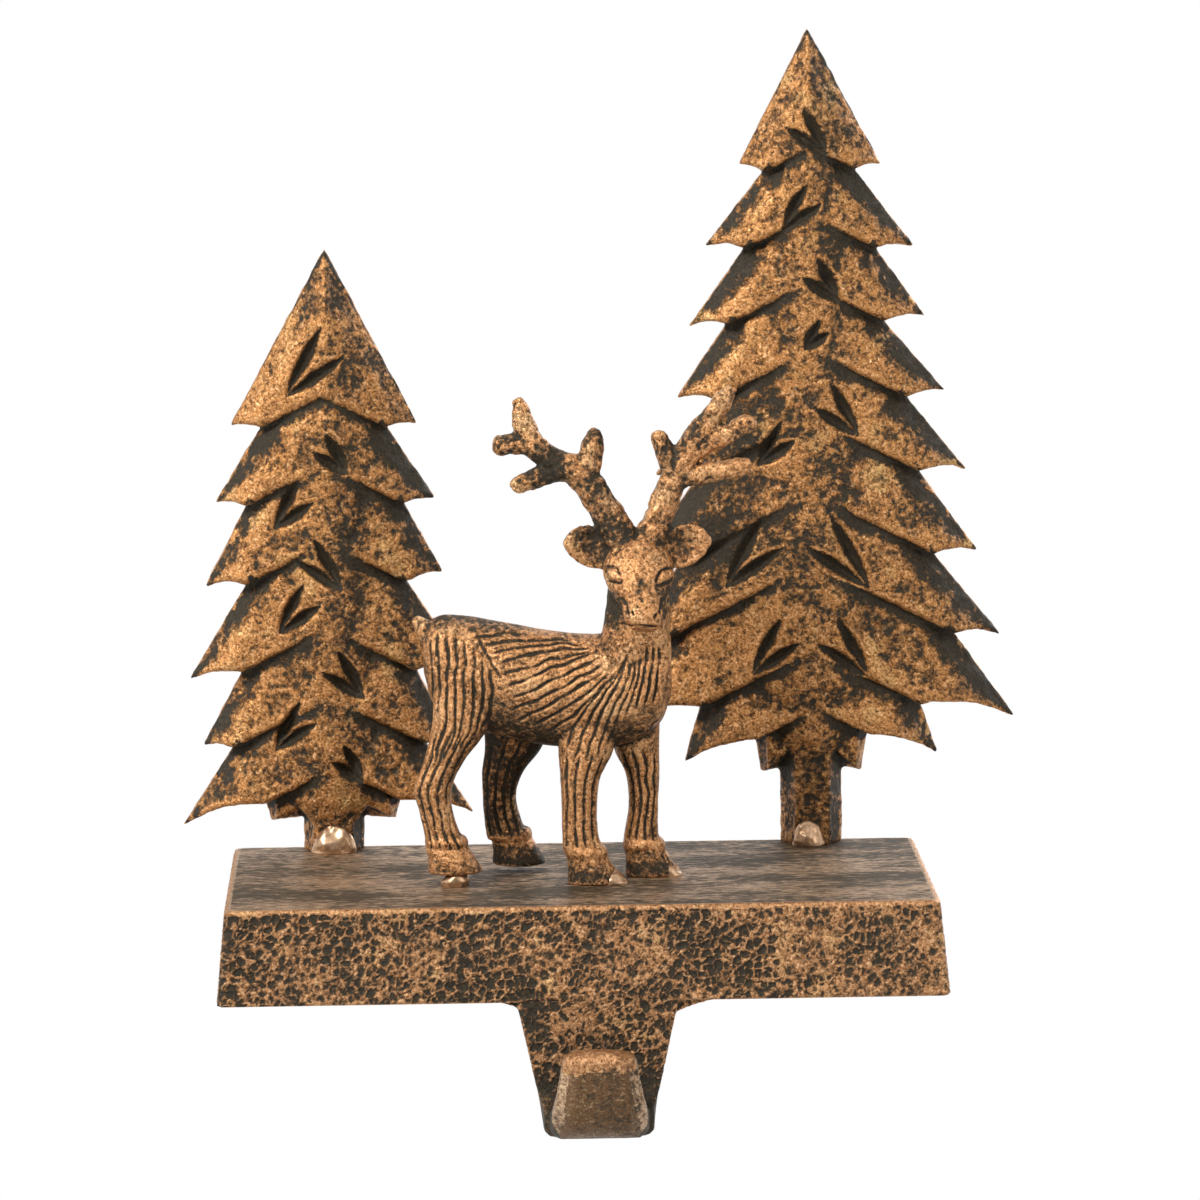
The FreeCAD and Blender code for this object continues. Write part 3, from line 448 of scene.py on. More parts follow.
def branch(above, tip, notch, side):
    """Sections at even steps of x from the trunk to the tip. Each runs down the front and back
    up the flat rear. Front depth is the lower of two sloping faces: one falls from the lower
    edge at the trunk to the tip, the other is the bevel that rises from the upper edge."""
    x = np.linspace(-1.0, tip[0] - 0.25, 90)[:, None]
    v = np.linspace(0, 1, 40)[None, :]
    root = above[1] + LIP_SLOPE * above[0] + min(1.0, above[0])
    lip = notch[1] + LIP_SLOPE * notch[0]
    high = np.interp(np.abs(x), [0, above[0] + 1e-6, tip[0]], [root, above[1], tip[1]])
    bow = tip[0] - notch[0]
    sag = 0.1 * bow * np.sin(np.pi * clamp((x - notch[0]) / bow))
    low = np.interp(x, [0, notch[0], tip[0]], [lip, notch[1], tip[1]]) + sag
    low = np.minimum(low, high - 0.3)
    h = high + (low - high) * v
    rise = STEP / (above[1] - notch[1])
    fall = (CREST - EDGE - rise * (lip - tip[1])) / tip[0]
    out = np.abs(x)
    face = CREST - fall * out - rise * (h - lip)
    run = np.hypot(tip[0] - above[0], above[1] - tip[1])
    depth = ((tip[0] - out) * (above[1] - tip[1]) + (tip[1] - h) * (tip[0] - above[0])) / run
    front = soft_min(face, BEVEL_EDGE + BEVEL * np.maximum(depth, 0), 1.4)
    lip_round = 0.9 * clamp(1 - (h - low) / 1.2) ** 2
    front = np.minimum(front - lip_round, CREST)
    wide = side * np.broadcast_to(x, h.shape)
    face_rows = np.stack([wide, -front, h], -1)
    rear_rows = np.stack([wide, np.zeros_like(h), h], -1)[:, ::-1]
    return closed_tube(np.concatenate([face_rows, rear_rows], 1)[:, ::side])


def branches(top, rows, side):
    above = (0.0, top)
    shapes = []
    for reach, height, notch_reach, notch_height in rows:
        shapes.append(branch(above, (reach, height), (notch_reach, notch_height), side))
        above = (notch_reach, notch_height)
    return shapes


def arch(top, left, right, rib):
    """The middle ridge, which the branches' lower edges fade into: sections across the tree,
    about half as wide as the notches reach, whose depth falls from the crest along a cosine. Over
    the first notch it narrows and thins towards the tree's point, and below the last one it
    narrows into the trunk."""
    low = right[-1][3]
    h = np.linspace(low - 6.0, top - 1.0, 160)[:, None]
    heights = [low - 6.0] + [row[3] for row in right][::-1] + [top]
    u = np.linspace(-1, 1, 61)[None, :]
    reach = [np.interp(h, heights, [rib / 2] + [row[2] * ARCH_SHARE for row in rows][::-1]
                       + [0.4]) for rows in (left, right)]
    x = np.where(u < 0, reach[0], reach[1]) * u
    up = clamp((h - right[0][3]) / (top - right[0][3]))
    edge = ARCH_EDGE + (0.5 - ARCH_EDGE) * up
    crest = CREST + (1.0 - CREST) * up - 0.33 * np.clip(low - h, 0, 6)
    depth = edge + (crest - edge) * np.cos(np.pi / 2 * u)
    h = np.broadcast_to(h, x.shape)
    front = np.stack([x, -depth, h], -1)
    rear = np.stack([x, np.zeros_like(x), h], -1)[:, ::-1]
    return closed_tube(np.concatenate([front, rear], 1))


def trunk(width, rib, rows, root_tip):
    """The trunk is a bar whose sides slope back from its flat front. Beside it hang two small
    points, whose fronts slope down to their edges."""
    last_x, last_h = rows[-1][2:]
    half, top = width / 2, last_h + CREST
    section = np.array([(-half, 0), (half, 0), (half, -TRUNK_SIDE), (rib / 2, -TRUNK_FRONT),
                        (-rib / 2, -TRUNK_FRONT), (-half, -TRUNK_SIDE)])
    parts = [closed_tube(np.stack([np.column_stack([section, np.full(6, h)]) for h in (0, top)]))]
    reach, low = root_tip
    for side in (-1, 1):
        rear = np.array([(half / 2, top), (last_x, last_h), (reach, low), (half - 1, low + 0.9),
                         (half / 2, low + 0.9)])
        front = np.array([(half / 2, top), (last_x - 2.6, last_h), (reach - 1.2, low + 1.0),
                          (half - 1.8, low + 5.2), (half / 2, low + 6.2)])
        rings = [np.stack([side * line[:, 0], np.full(5, y), line[:, 1]], 1)
                 for line, y in ((rear, 0.0), (rear, -2.0), (front, -6.0))]
        parts.append(closed_tube(np.stack(rings)[:, ::side]))
    return parts


# %% [markdown]
# The front also carries pairs of carved gouges that meet in a point. They go in after the
# branches are melted into one skin: every front point inside a gouge's leaf-shaped outline is
# pressed back, deepest along the gouge's middle.

# %% Gouges
# Rows of a pair's point: its x and height, the side it looks to, and the gouges' length
TALL_NOTCHES = (
    (4, 151.6, 1, 12), (-6, 135.4, -1, 11.5), (6.6, 119.6, 1, 11.5),
    (-1.5, 109.5, -1, 7.5), (10.8, 90, 1, 14), (-11.6, 84.2, -1, 11),
    (-19, 57.5, -1, 17.5), (12.8, 56.8, 1, 19), (-13.5, 38, -1, 14.5),
    (12.6, 37.2, 1, 15.5))
SHORT_NOTCHES = (
    (-8.9, 100.5, -1, 17.5), (4.6, 83.4, 1, 10.5), (-12, 71.6, -1, 12),
    (3, 58, 1, 13.5), (-11.4, 48.6, -1, 12.8), (7.4, 34, 1, 12.5),
    (-12.6, 22.8, -1, 12.5), (7, 15.6, 1, 9.5))
# Width of the unrubbed band, and of the painted shadow under a branch's lip
BAND_WIDE, SHADE_WIDE = 5.4, 2.4
GOUGE_ANGLES = ((62.0, 1.0), (34.0, 0.9))   # degrees over level, and share of the length
GOUGE_WIDTH, GOUGE_DEPTH = 3.4, 2.2


def gouge_depth(x, h, notches):
    """Depth of all gouges at a point, and the burnished rim under each pair, which also carries a
    painted highlight: along a gouge the leaf's half width follows a sine, and across it the depth
    falls evenly to its edge."""
    depth, lip = np.zeros_like(x), np.zeros_like(x)
    for px, ph, side, length in notches:
        for angle, share in GOUGE_ANGLES:
            run = np.array([-side * np.cos(np.radians(angle)), np.sin(np.radians(angle))])
            along = ((x - px) * run[0] + (h - ph) * run[1]) / (length * share)
            across = (x - px) * run[1] - (h - ph) * run[0]
            leaf = np.sin(np.pi * clamp(along)) ** 0.8 * GOUGE_WIDTH / 2 + 1e-6
            cut = GOUGE_DEPTH * leaf / (GOUGE_WIDTH / 2) * clamp(1 - np.abs(across) / leaf)
            depth = np.maximum(depth, np.where((along > 0) & (along < 1), cut, 0))
            # Rim under the shallow gouge: burnished, and brightened further as a painted highlight
            beside = side * across - leaf - 0.3
            rim_highlight = clamp(1 - np.abs(beside) / 0.6) * (angle < 50) * (np.abs(along - 0.5) < 0.45)
            lip = np.maximum(lip, rim_highlight)
    return depth, lip


# %% Where the rub never reached, and painted shadow
def dark_band_and_shadow(x, h, rows, top, side):
    """1 where the rub never reached, along the branches' upper edges, widest at the notch and
    narrow at the tip; and painted shadow under each branch's lower edge."""
    above, band = np.array([0.0, top]), np.zeros_like(x)
    for reach, height, notch_reach, notch_height in rows:
        tip = np.array([reach, height])
        run = tip - above
        to = np.stack([side * x, h], 1) - above
        along = to @ run / (run @ run)
        inward = (to[:, 0] * run[1] - to[:, 1] * run[0]) / np.linalg.norm(run)
        width = BAND_WIDE * (1 - 0.85 * clamp(along)) * min(1.0, 0.1 + above[0] / 14)
        inside = (along > -0.1) & (along < 1.02) & (inward > -0.6)
        edge = clamp((1.25 - inward / width) * 1.2)
        band = np.maximum(band, np.where(inside, edge, 0))
        # Painted shadow on the branch beneath, under this branch's lower edge
        below = notch_height + LIP_SLOPE * (notch_reach - side * x) - h
        inside = (below > 0) & (side * x > 1.0) & (side * x < notch_reach + 1.0)
        shade = clamp((1.2 - below / SHADE_WIDE) * 1.2) * clamp(side * x / 7)
        band = np.maximum(band, np.where(inside, shade, 0))
        above = np.array([notch_reach, notch_height])
    return band


# %% A whole tree
def fir_tree(name, node, x0, top, left, right, width, rib, root_tip, notches, voxel, painted_shade_patches=()):
    """One tree: its shapes melted into one skin, then gouged, roughened and rubbed."""
    shapes = branches(top, right, 1) + branches(top, left, -1)
    shapes += [arch(top, left, right, rib)] + trunk(width, rib, right, root_tip)
    mesh = one_skin(name, shapes, voxel, 2)
    points, normals = skin_of(mesh)
    x, y, h = points.T
    facing = clamp(-normals[:, 1] * 2)
    cut, lip = gouge_depth(x, h, notches)
    cut = cut * facing
    points[:, 1] += cut
    rough = 0.16 * swells(points, 2.6, 3) + 0.12 * swells(points, 1.2, 5)
    points += normals * (rough * clamp(-y))[:, None]
    # Unrubbed bands along the upper edges, and painted shadow under the lower edges
    band = np.maximum(dark_band_and_shadow(x, h, right, top, 1), dark_band_and_shadow(x, h, left, top, -1))
    move_points(mesh, points + [x0, TREE_BACK, BASE_TOP])
    stands = np.clip(relief(mesh, 3) * 3.0, -1, 0.15) + np.clip(relief(mesh, 40) * 0.8, -1, 0.12)
    ragged = band * (0.62 + 0.55 * swells(points, 1.5, 8) + 0.6 * swells(points, 5.0, 9)) * facing
    weather_and_shade = 0.16 * swells(points, 22.0, 10) - 0.3 * (normals[:, 1] > 0.5)
    weather_and_shade -= 0.16 * clamp(1 - np.abs(x) / 9) + 0.15 * swells(points, 4.0, 16)
    # Painted shade on faces turned to the right, away from the key lamp
    weather_and_shade -= 0.3 * np.clip(normals[:, 0] * 2, 0, 0.6) * facing
    # Painted shade where the antler stands in front of the tree
    for px, ph, size in painted_shade_patches:
        weather_and_shade -= 0.55 * clamp(1.3 - np.hypot(x - px, h - ph) / size) * facing
    stem = 0.25 * clamp((right[-1][3] - 2 - h) / 4)
    keep_rub(mesh, stands + weather_and_shade - cut * 0.5 - ragged + 0.5 * lip * facing - stem)
    made = piece(name, mesh, tree_finish)
    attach(made, "root")
    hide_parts(node)


# %% Both trees
# Painted shade of the antler on the tall tree behind it: x, height and size of each patch
ANTLER_SHADE_PATCHES = ((-20, 68, 12), (-14, 95, 8), (-17, 84, 7))
fir_tree("tall_fir", "tall_tree", TALL_X, TALL_TOP, TALL_LEFT, TALL_RIGHT, width=13.5,
         rib=7.4, root_tip=(11.0, 15.8), notches=TALL_NOTCHES, voxel=0.46, painted_shade_patches=ANTLER_SHADE_PATCHES)
fir_tree("short_fir", "short_tree", SHORT_X, SHORT_TOP, SHORT_LEFT, SHORT_RIGHT, width=13.2,
         rib=8.4, root_tip=(13.6, 6.6), notches=SHORT_NOTCHES, voxel=0.40)

# %% [markdown]
# ## The stag
# The stag is one casting in the round, made from a hand-carved pattern. Torso, neck, legs,
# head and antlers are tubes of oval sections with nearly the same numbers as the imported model,
# run through splines so that nothing has a corner, and melted into one skin.

# %% Stag sizes
# Rows of x, y, height and the section's half sizes, one where it is round. The torso's first is
# its half height. HOOVES are places alone, and the rows of HOOF and CUFF count from them and
# leave y out.
TORSO = (
    (-32.6, -3, 49, 4, 4.5), (-30.6, -3, 47, 9.2, 7.6), (-26, -3, 45.2, 11.8, 9),
    (-16, -3.8, 43.2, 12.3, 9.6), (-6, -4.6, 41.2, 12.4, 9.4), (4, -5.4, 40.6, 12.2, 9.2),
    (12, -6, 42, 12.2, 8.6), (17.5, -6.2, 44, 10.4, 6.8), (20, -6.2, 46, 6.5, 4.4))
NECK = ((10.2, -6.2, 44, 8.6, 7.4), (12.4, -7.4, 52.5, 7.4, 6.6), (13, -8.4, 59, 6.8, 6),
        (13, -8.8, 66, 6.2, 5.4))
LEGS = (
    ((-24, -7.6, 45, 6.6, 5), (-24.8, -8.4, 34.5, 6.2, 4.8), (-28.6, -9, 26.4, 4.3, 4),
     (-31, -9.4, 20.8, 4.05, 3.6), (-30.4, -9.6, 15.8, 3.6, 3.4), (-28.9, -9.8, 10, 3.9, 3.6),
     (-28.2, -9.9, 7, 4.6, 4.2)),
    ((-15, 1.2, 42, 7, 4.8), (-13.2, 2.6, 29.5, 6.6, 4.6), (-16, 3.6, 21.6, 4.4, 4),
     (-16.7, 4, 16.6, 3.6, 3.5), (-16.2, 4.2, 12, 3.9, 3.5), (-15, 4.4, 7, 4.5, 3.9)),
    ((3, -8, 38, 7.2, 5.2), (1.6, -9, 28, 5.8, 4.8), (0.4, -9.6, 22.6, 4.3, 4.2),
     (0.1, -9.8, 16.6, 3.8, 3.8), (0.3, -10, 10, 3.9, 3.7), (1.2, -10.1, 6.4, 4.6, 4.2)),
    ((12.2, -3.8, 38, 5.6, 4.8), (12.6, -2.8, 28, 4.9, 4.4), (13.9, -2.4, 22, 3.6, 3.9),
     (14, -2.3, 15.2, 3.2, 3.6), (13.5, -2.2, 9, 3.7, 3.5), (13.8, -2.2, 5.8, 4.3, 3.9)))
HOOVES = ((-27.3, -10.1, 2.6), (-13.4, 4.5, 1.5), (2.4, -10.4, 0), (15, -2.4, 0))
HOOF = ((0.5, 0, 5.6, 4.3), (0.8, 0.5, 5.8, 4.6), (0.1, 3.2, 5, 4.3), (-0.8, 5.8, 4.3, 3.6),
        (-0.8, 6.6, 3.6, 2.8))
CUFF = ((-0.9, 5.6, 4, 3.2), (-0.9, 6.1, 4.6, 3.9), (-1, 7.2, 4.5, 3.9), (-1, 8, 3.9, 3.2))
HEAD = ((12.9, -5.6, 70.6, 3.6, 3), (13, -7.4, 69.6, 6, 5.6), (13.1, -10.6, 67.6, 7.5, 6.4),
        (13.4, -13.4, 64.4, 6.7, 5.6), (13.8, -16, 60.4, 4.7, 4.3),
        (14, -17.8, 57.6, 4.2, 3.6), (14, -19, 55.8, 2.8, 2.2))
TAIL = ((-29, -3.6, 50.5, 2.6), (-32, -3.8, 53.8, 2.3), (-34.4, -4, 56.6, 0.9))
BEAMS = (
    ((10.2, -9, 72.5, 3.7), (6.6, -8.6, 79, 3.4), (3.2, -8.2, 84.6, 3.2),
     (-0.6, -8, 88.6, 3), (-5.9, -8, 91.4, 2.7), (-9.5, -8, 95, 2.6),
     (-11.2, -8, 99.8, 2.1), (-12.2, -8, 103.6, 1.1)),
    ((15.4, -9, 72.5, 3.4), (18.2, -8.6, 79.6, 3.1), (21, -8.2, 86.4, 2.9),
     (24.2, -8, 92.2, 2.8), (28.6, -8, 98.6, 2.5), (31.8, -8, 102.9, 2),
     (33.7, -8, 105.5, 1.1)))
TINES = (
    ((-9, -8, 94.2, 2.4), (-16, -8.2, 93.7, 1.9)),
    ((-2.6, -8, 88.8, 2.7), (-11.9, -8.6, 85.3, 1.9)),
    ((2, -8, 86, 2.9), (4.3, -8, 95.4, 2.1)),
    ((21.2, -8, 87.6, 2.9), (17.6, -8, 95.4, 1.7)),
    ((25.6, -8, 92.4, 2.5), (37, -8.4, 98, 1.9)),
    ((23.2, -8, 86.6, 2.5), (36.2, -8.8, 88.8, 1.8)))

# %% Oval tubes
TURN = np.linspace(0, 2 * np.pi, 48, endpoint=False)
POLE_STOP = 1.45            # just short of a quarter turn, so that a dome ends in a small ring


def oval_tube(rows, count, first, second):
    """Rings about the splined rows: centre + a cos(t) first + b sin(t) second."""
    table = spline(rows, count)
    a, b = np.maximum(table[:, 3:4, None], 0.2), np.maximum(table[:, 4:5, None], 0.2)
    rings = (table[:, None, :3] + a * np.cos(TURN)[None, :, None] * np.array(first)
             + b * np.sin(TURN)[None, :, None] * np.array(second))
    return closed_tube(rings)


def level_tube(rows, count=40):
    return oval_tube(rows, count, (1, 0, 0), (0, 1, 0))


def path_tube(rows, count, across):
    """Rings at right angles to a splined path. The second direction is along x across."""
    table = spline(rows, count)
    across = np.array(across, float)
    along = unit(np.gradient(table[:, :3], axis=0))
    first = unit(across - along * (along @ across)[:, None])
    second = np.cross(along, first)
    a, b = (np.maximum(table[:, k], 0.15)[:, None, None] for k in (3, -1))
    rings = (table[:, None, :3] + a * np.cos(TURN)[None, :, None] * first[:, None]
             + b * np.sin(TURN)[None, :, None] * second[:, None])
    return closed_tube(rings)


def blunt(root, point):
    """A tine's rows: root, half way, point, and a small step on whose radius is halved."""
    root, point = np.array(root), np.array(point)
    run = unit(point[:3] - root[:3])
    half = (root + point) / 2
    end = np.append(point[:3] + run * point[3] * 0.75, point[3] * 0.45)
    return [root, half, point, end]


# %% [markdown]
# The ears are leaves with a hollow to the front, the brows are knobs over the eyes, and each
# eye is an almond that swells inside a groove. A hollow is a fold in the ear's own section: the
# front half of each oval is pressed in.


# %% Ears and eyes
def ear(side):
    """Leaf along x: half height and thickness follow a table, and the front is pressed in by
    the cosine of the ring's angle."""
    table = spline(((0.0, 3.4, 1.6), (0.3, 4.5, 1.9), (0.6, 4.3, 1.7), (0.85, 2.7, 1.2),
                    (1.0, 0.7, 0.5)), 40)
    share, tall, thick = (table[:, k, None] for k in range(3))
    x = 13.0 + side * (5.2 + 10.6 * share) + 0 * TURN
    h = 71.2 + 1.8 * share + tall * np.sin(TURN)
    facing = clamp(-np.cos(TURN))
    cup = 1.35 * thick * np.sin(np.pi * clamp(share * 1.15)) * facing**2
    y = -9.4 + thick * np.cos(TURN) + cup
    return closed_tube(np.stack([x, y, h], -1)[:, ::side])


def ball(x, y, h, radius):
    turn = np.linspace(-POLE_STOP, POLE_STOP, 16)
    rows = [(x, y, h + radius * np.sin(t), radius * np.cos(t), radius * np.cos(t)) for t in turn]
    return level_tube(rows, 24)


# %% [markdown]
# Coat lines are carved grooves. They fan out from the withers over the flank, run straight
# down the haunch and chest, and follow each leg. Every line is a splined path seen from the
# side, and a point of the skin is pressed in by how near it is to the nearest path.

# %% Coat lines
LINES = (
    ((-22.3, 53.2), (-16.9, 53.5), (-11.1, 53.6)),
    ((-20, 51.6), (-12.6, 52.4), (-6.7, 52.4), (-0.6, 51.9)),
    ((-18.7, 49.9), (-11.1, 51.1), (-3.8, 51.5), (1.2, 51.1)),
    ((-17, 47.8), (-9.9, 49.6), (-3.8, 50.3), (2.4, 50.4)),
    ((-15.6, 45.7), (-9.7, 47.3), (-3.9, 48.8), (3.4, 49.8)),
    ((-14.9, 43.2), (-8.8, 45.4), (-3.6, 47.4), (4.3, 50)),
    ((-14.2, 40.6), (-7.6, 43.2), (-2.8, 45.5), (4.9, 48.9)),
    ((-13.7, 38), (-6.9, 41.2), (-1.4, 43.9), (5.1, 47.5)),
    ((-12.9, 35.6), (-7.1, 38.7), (-1.8, 41.7), (5.5, 46.2)),
    ((-9.9, 34.3), (-5.5, 36.7), (0.5, 40.3), (6.4, 45.6)),
    ((-5.8, 33.5), (-1.9, 35.9), (3, 40.3), (7.4, 45.4)),
    ((-3, 29.5), (-0.3, 35.1), (4.2, 40.9), (8.4, 45.9)),
    ((-1.3, 26.7), (1.7, 34.2), (6, 41.5), (9.4, 47.1)),
    ((1.3, 26.7), (4.1, 35), (7.7, 42.2), (10.4, 49.4)),
    ((3.9, 27.4), (6.3, 35), (9.3, 42.1), (11.3, 47.7)),
    ((6.2, 29.3), (8.4, 36.2), (10.8, 42.3), (12.5, 48.2)),
    ((10, 36.2), (12.2, 43.3), (13.6, 49.4)), ((12, 38.1), (14, 45.2), (14.9, 51)),
    ((14, 38.1), (15.6, 45), (16.2, 51)), ((16, 38.6), (17.2, 45), (17.5, 51)),
    ((-31, 52.8), (-30.9, 44.4), (-31.2, 36.4)),
    ((-29.5, 53.8), (-29.3, 44.4), (-30.4, 33.4)),
    ((-27.6, 53.5), (-27.6, 44.4), (-28.4, 34.3), (-31, 25.7)),
    ((-25.7, 52.7), (-25.8, 41.9), (-26.4, 33.3), (-29, 26.9)),
    ((-23.8, 52.5), (-23.9, 44.3), (-24.3, 36), (-27, 28.6)),
    ((-21.9, 51.6), (-22, 41.8), (-22.4, 34.5), (-24.8, 30.1)),
    ((-20.2, 48.9), (-20.1, 41.8), (-20.8, 34.7), (-22.6, 32)),
    ((-18.3, 46.7), (-18.1, 41.8), (-18.9, 36.1), (-20.4, 33.9)),
    ((-21.4, 53.4), (-18.9, 49.6), (-16, 44.6)))
LEG_SHARES = (-0.75, -0.28, 0.22, 0.7)
LINE_HALF, LINE_DEEP = 0.47, 0.58
HOOF_TOP, NECK_MIDDLE, ANTLER_ROOT = 8.0, 54.5, 73.0


def leg_lines(leg):
    table = spline([row for row in leg if row[2] < 36], 8)
    return [np.stack([table[:, 0] + table[:, 3] * share, table[:, 2]], 1)
            for share in LEG_SHARES]


def nearness(x, h, line):
    """1 on the line, falling evenly to 0 at LINE_HALF from it, and fading at its ends."""
    path = spline(line, 14)
    start, run = path[:-1], np.diff(path, axis=0)
    to = np.stack([x, h], 1)[:, None, :] - start[None]
    share = clamp((to * run).sum(2) / (run**2).sum(1))
    away = np.linalg.norm(to - share[..., None] * run, axis=2)
    nearest = away.argmin(1)
    place = (nearest + share[np.arange(len(x)), nearest]) / len(run)
    fade = clamp(np.minimum(place, 1 - place) * 9 + 0.15)
    return clamp(1 - away.min(1) / LINE_HALF) * fade


def unsteady(points, far, size, seed):
    """Each point's x and height, swayed as a carver's hand does."""
    return [points[:, 2 * k] + far * swells(points, size, seed + k) for k in range(2)]


def coat(points, normals):
    """How deep the coat lines are at each point, from 0 to 1, on both flanks."""
    side, h = normals[:, 1], points[:, 2]
    body = (h < NECK_MIDDLE) & (h > HOOF_TOP) & (np.abs(side) > 0.2)
    near = np.flatnonzero(body & ((side < 0) | (points[:, 1] > 0)))
    x, h = unsteady(points[near], 0.42, 3.0, 31)
    deep = np.zeros(len(near))
    for path in list(LINES) + [line for leg in LEGS for line in leg_lines(leg)]:
        deep = np.maximum(deep, nearness(x, h, path))
    deep *= 0.8 + 0.6 * swells(points[near], 3.4, 33)
    cut = np.zeros(len(points))
    cut[near] = deep * clamp(np.abs(side[near]) * 2.5 - 0.4)
    return cut


# %% The face
# Rows of an eye's x, height and slant in degrees
EYES = ((7.6, 66.9, -38.0), (18.6, 66.4, 38.0))
EYE_LONG, EYE_HIGH = 1.9, 1.45
NOSE_X = 13.3
FACE_LINES = (
    ((10.0, 56.2), (11.8, 56.3), (13.6, 56.4), (15.4, 56.3), (17.0, 56.2)),
    ((11.6, 58.6), (11.0, 59.6)), ((16.0, 58.5), (16.7, 59.4)),
    ((8.8, 62.6), (10.0, 60.8), (10.4, 58.6)), ((18.2, 62.2), (17.5, 60.6), (17.4, 58.8)))


def face(points, normals):
    """Carved eyes and lines on the head's front. An eye's outline is where its stretched
    distance r from the middle is 1: there the skin goes in, and inside it swells by 1 - r."""
    front = (points[:, 2] > NECK_MIDDLE) & (points[:, 2] < ANTLER_ROOT) & (points[:, 1] < -9.5)
    near = np.flatnonzero(front & (normals[:, 1] < -0.1))
    x, h = unsteady(points[near], 0.35, 1.8, 34)
    cut, swell = np.zeros(len(near)), np.zeros(len(near))
    for ex, eh, slant in EYES:
        a = np.radians(slant)
        u = (x - ex) * np.cos(a) + (h - eh) * np.sin(a)
        v = (h - eh) * np.cos(a) - (x - ex) * np.sin(a)
        r = np.abs(u / EYE_LONG) ** 1.5 + np.abs(v / EYE_HIGH) ** 1.5
        under = np.clip(0.8 - v, 0.65, 1)
        cut = np.maximum(cut, clamp(1 - np.abs(r - 1.1) / 0.6) * under)
        swell = np.maximum(swell, 1.3 * clamp(1 - r))
    for line in FACE_LINES:
        cut = np.maximum(cut, 0.9 * nearness(x, h, line))
    carved, raised = np.zeros(len(points)), np.zeros(len(points))
    carved[near], raised[near] = cut, swell
    return carved, raised


# %% Building the stag
def rows_at(place, rows):
    """The rows of a hoof or a cuff moved to its place."""
    return [(place[0] + dx, place[1], place[2] + dh, a, b) for dx, dh, a, b in rows]


def make_stag():
    """The stag: its tubes melted into one skin, then carved, roughened and rubbed."""
    shapes = [oval_tube(TORSO, 70, (0, 0, 1), (0, 1, 0)), level_tube(NECK),
              path_tube(HEAD, 60, (1, 0, 0)), path_tube(TAIL, 16, (0, 1, 0)), ear(-1), ear(1)]
    shapes += [level_tube(leg, 60) for leg in LEGS]
    for place in HOOVES:
        shapes += [level_tube(rows_at(place, HOOF), 30), level_tube(rows_at(place, CUFF), 16)]
    shapes += [path_tube(beam, 70, (0, 1, 0)) for beam in BEAMS]
    shapes += [path_tube(blunt(*ends), 24, (0, 1, 0)) for ends in TINES]
    shapes += [ball(8.3, -13.4, 66.7, 2.4), ball(18.0, -13.4, 66.5, 2.4)]
    mesh = one_skin("stag", shapes, 0.37, 4)
    points, normals = skin_of(mesh)
    x, y, h = points.T
    carved, raised = face(points, normals)
    cut = np.maximum(coat(points, normals), carved)
    lumps = 0.20 * swells(points, 2.0, 11) + 0.14 * swells(points, 0.9, 12)
    coarse = clamp((h - 54) / 8)
    antler = clamp((h - ANTLER_ROOT) / 3)
    lumps = lumps * (0.25 + 0.75 * coarse + 0.5 * antler) + 0.3 * antler * swells(points, 3.2, 13)
    push = lumps - LINE_DEEP * cut + 0.5 * raised
    points += normals * push[:, None]
    move_points(mesh, points + [0, 0, BASE_TOP])
    stands = relief(mesh, 2) * 2.0 + relief(mesh, 12) * 0.8
    patches_and_shade = 0.3 * swells(points, 5.0, 14) * coarse + 0.10 * swells(points, 9.0, 15)
    # Bright cuffs, then what was rubbed less: soles, nose, antlers; painted shade on undersides
    # and cheeks, and on the far hind leg, also rubbed less
    patches_and_shade += 0.5 * clamp(1.4 - np.abs(h - 7) / 1.2) * (h < 9.5)
    patches_and_shade -= 0.3 * clamp((4.6 - h) / 2)
    patches_and_shade -= 0.3 * clamp(-normals[:, 2] * 1.5) * (h > 12) * (h < 50)
    patches_and_shade -= 0.3 * clamp((38 - h) / 4) * ((y > -1.2) & (np.abs(x + 15) < 9))
    out = np.abs(x - NOSE_X)
    patches_and_shade -= 0.5 * clamp((out - 2.9) / 1.6) * clamp(1.4 - np.abs(h - 60) / 4.5)
    patches_and_shade -= 0.35 * clamp(1 - out / 1.3) * clamp(1.3 - np.abs(h - 63) / 4) * (y < -9)
    patches_and_shade -= antler * np.where(x > 15, 0.06, 0.3)
    keep_rub(mesh, stands - 0.26 * cut + 0.2 * raised + 0.05 + patches_and_shade)
    made = piece("carved_stag", mesh, stag_finish)
    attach(made, "root")
    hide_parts("stag")


make_stag()

# %% [markdown]
# ## The base
# The base is a hollow box cast in one with the hook, open below. Its walls have a hammered
# skin, which comes from the pattern: round pits with sharp ridges between them. One grid of
# rings does the whole box, from the hollow's ceiling down, round the rim and over the top.

# %% Base sizes
BASE_WIDTH, BASE_DEPTH, RIM, DRAFT, WALL = 153.5, 76.0, 2.0, 1.9, 4.0
CEILING = BASE_TOP - 5.0
CORNER, EDGE_ROUND = 1.6, 0.8
COLUMNS = 1150


# %% The box's rings
def box_outline(count):
    """Points around the rounded rectangle at even steps of its length."""
    x, y = BASE_WIDTH / 2 - CORNER, BASE_DEPTH / 2 - CORNER
    turn = np.linspace(0, np.pi / 2, 9)
    arms = CORNER * np.stack([np.cos(turn), np.sin(turn)], 1)
    spin = [np.linalg.matrix_power(np.array([[0, -1], [1, 0]]), k) for k in range(4)]
    middles = np.array([(x, y), (-x, y), (-x, -y), (x, -y)])
    path = np.vstack([middle + arms @ quarter.T for middle, quarter in zip(middles, spin)])
    path = np.vstack([path, path[:1]])
    length = np.append(0, np.cumsum(np.linalg.norm(np.diff(path, axis=0), axis=1)))
    at = np.linspace(0, length[-1], count, endpoint=False)
    return np.stack([np.interp(at, length, path[:, k]) for k in range(2)], 1)


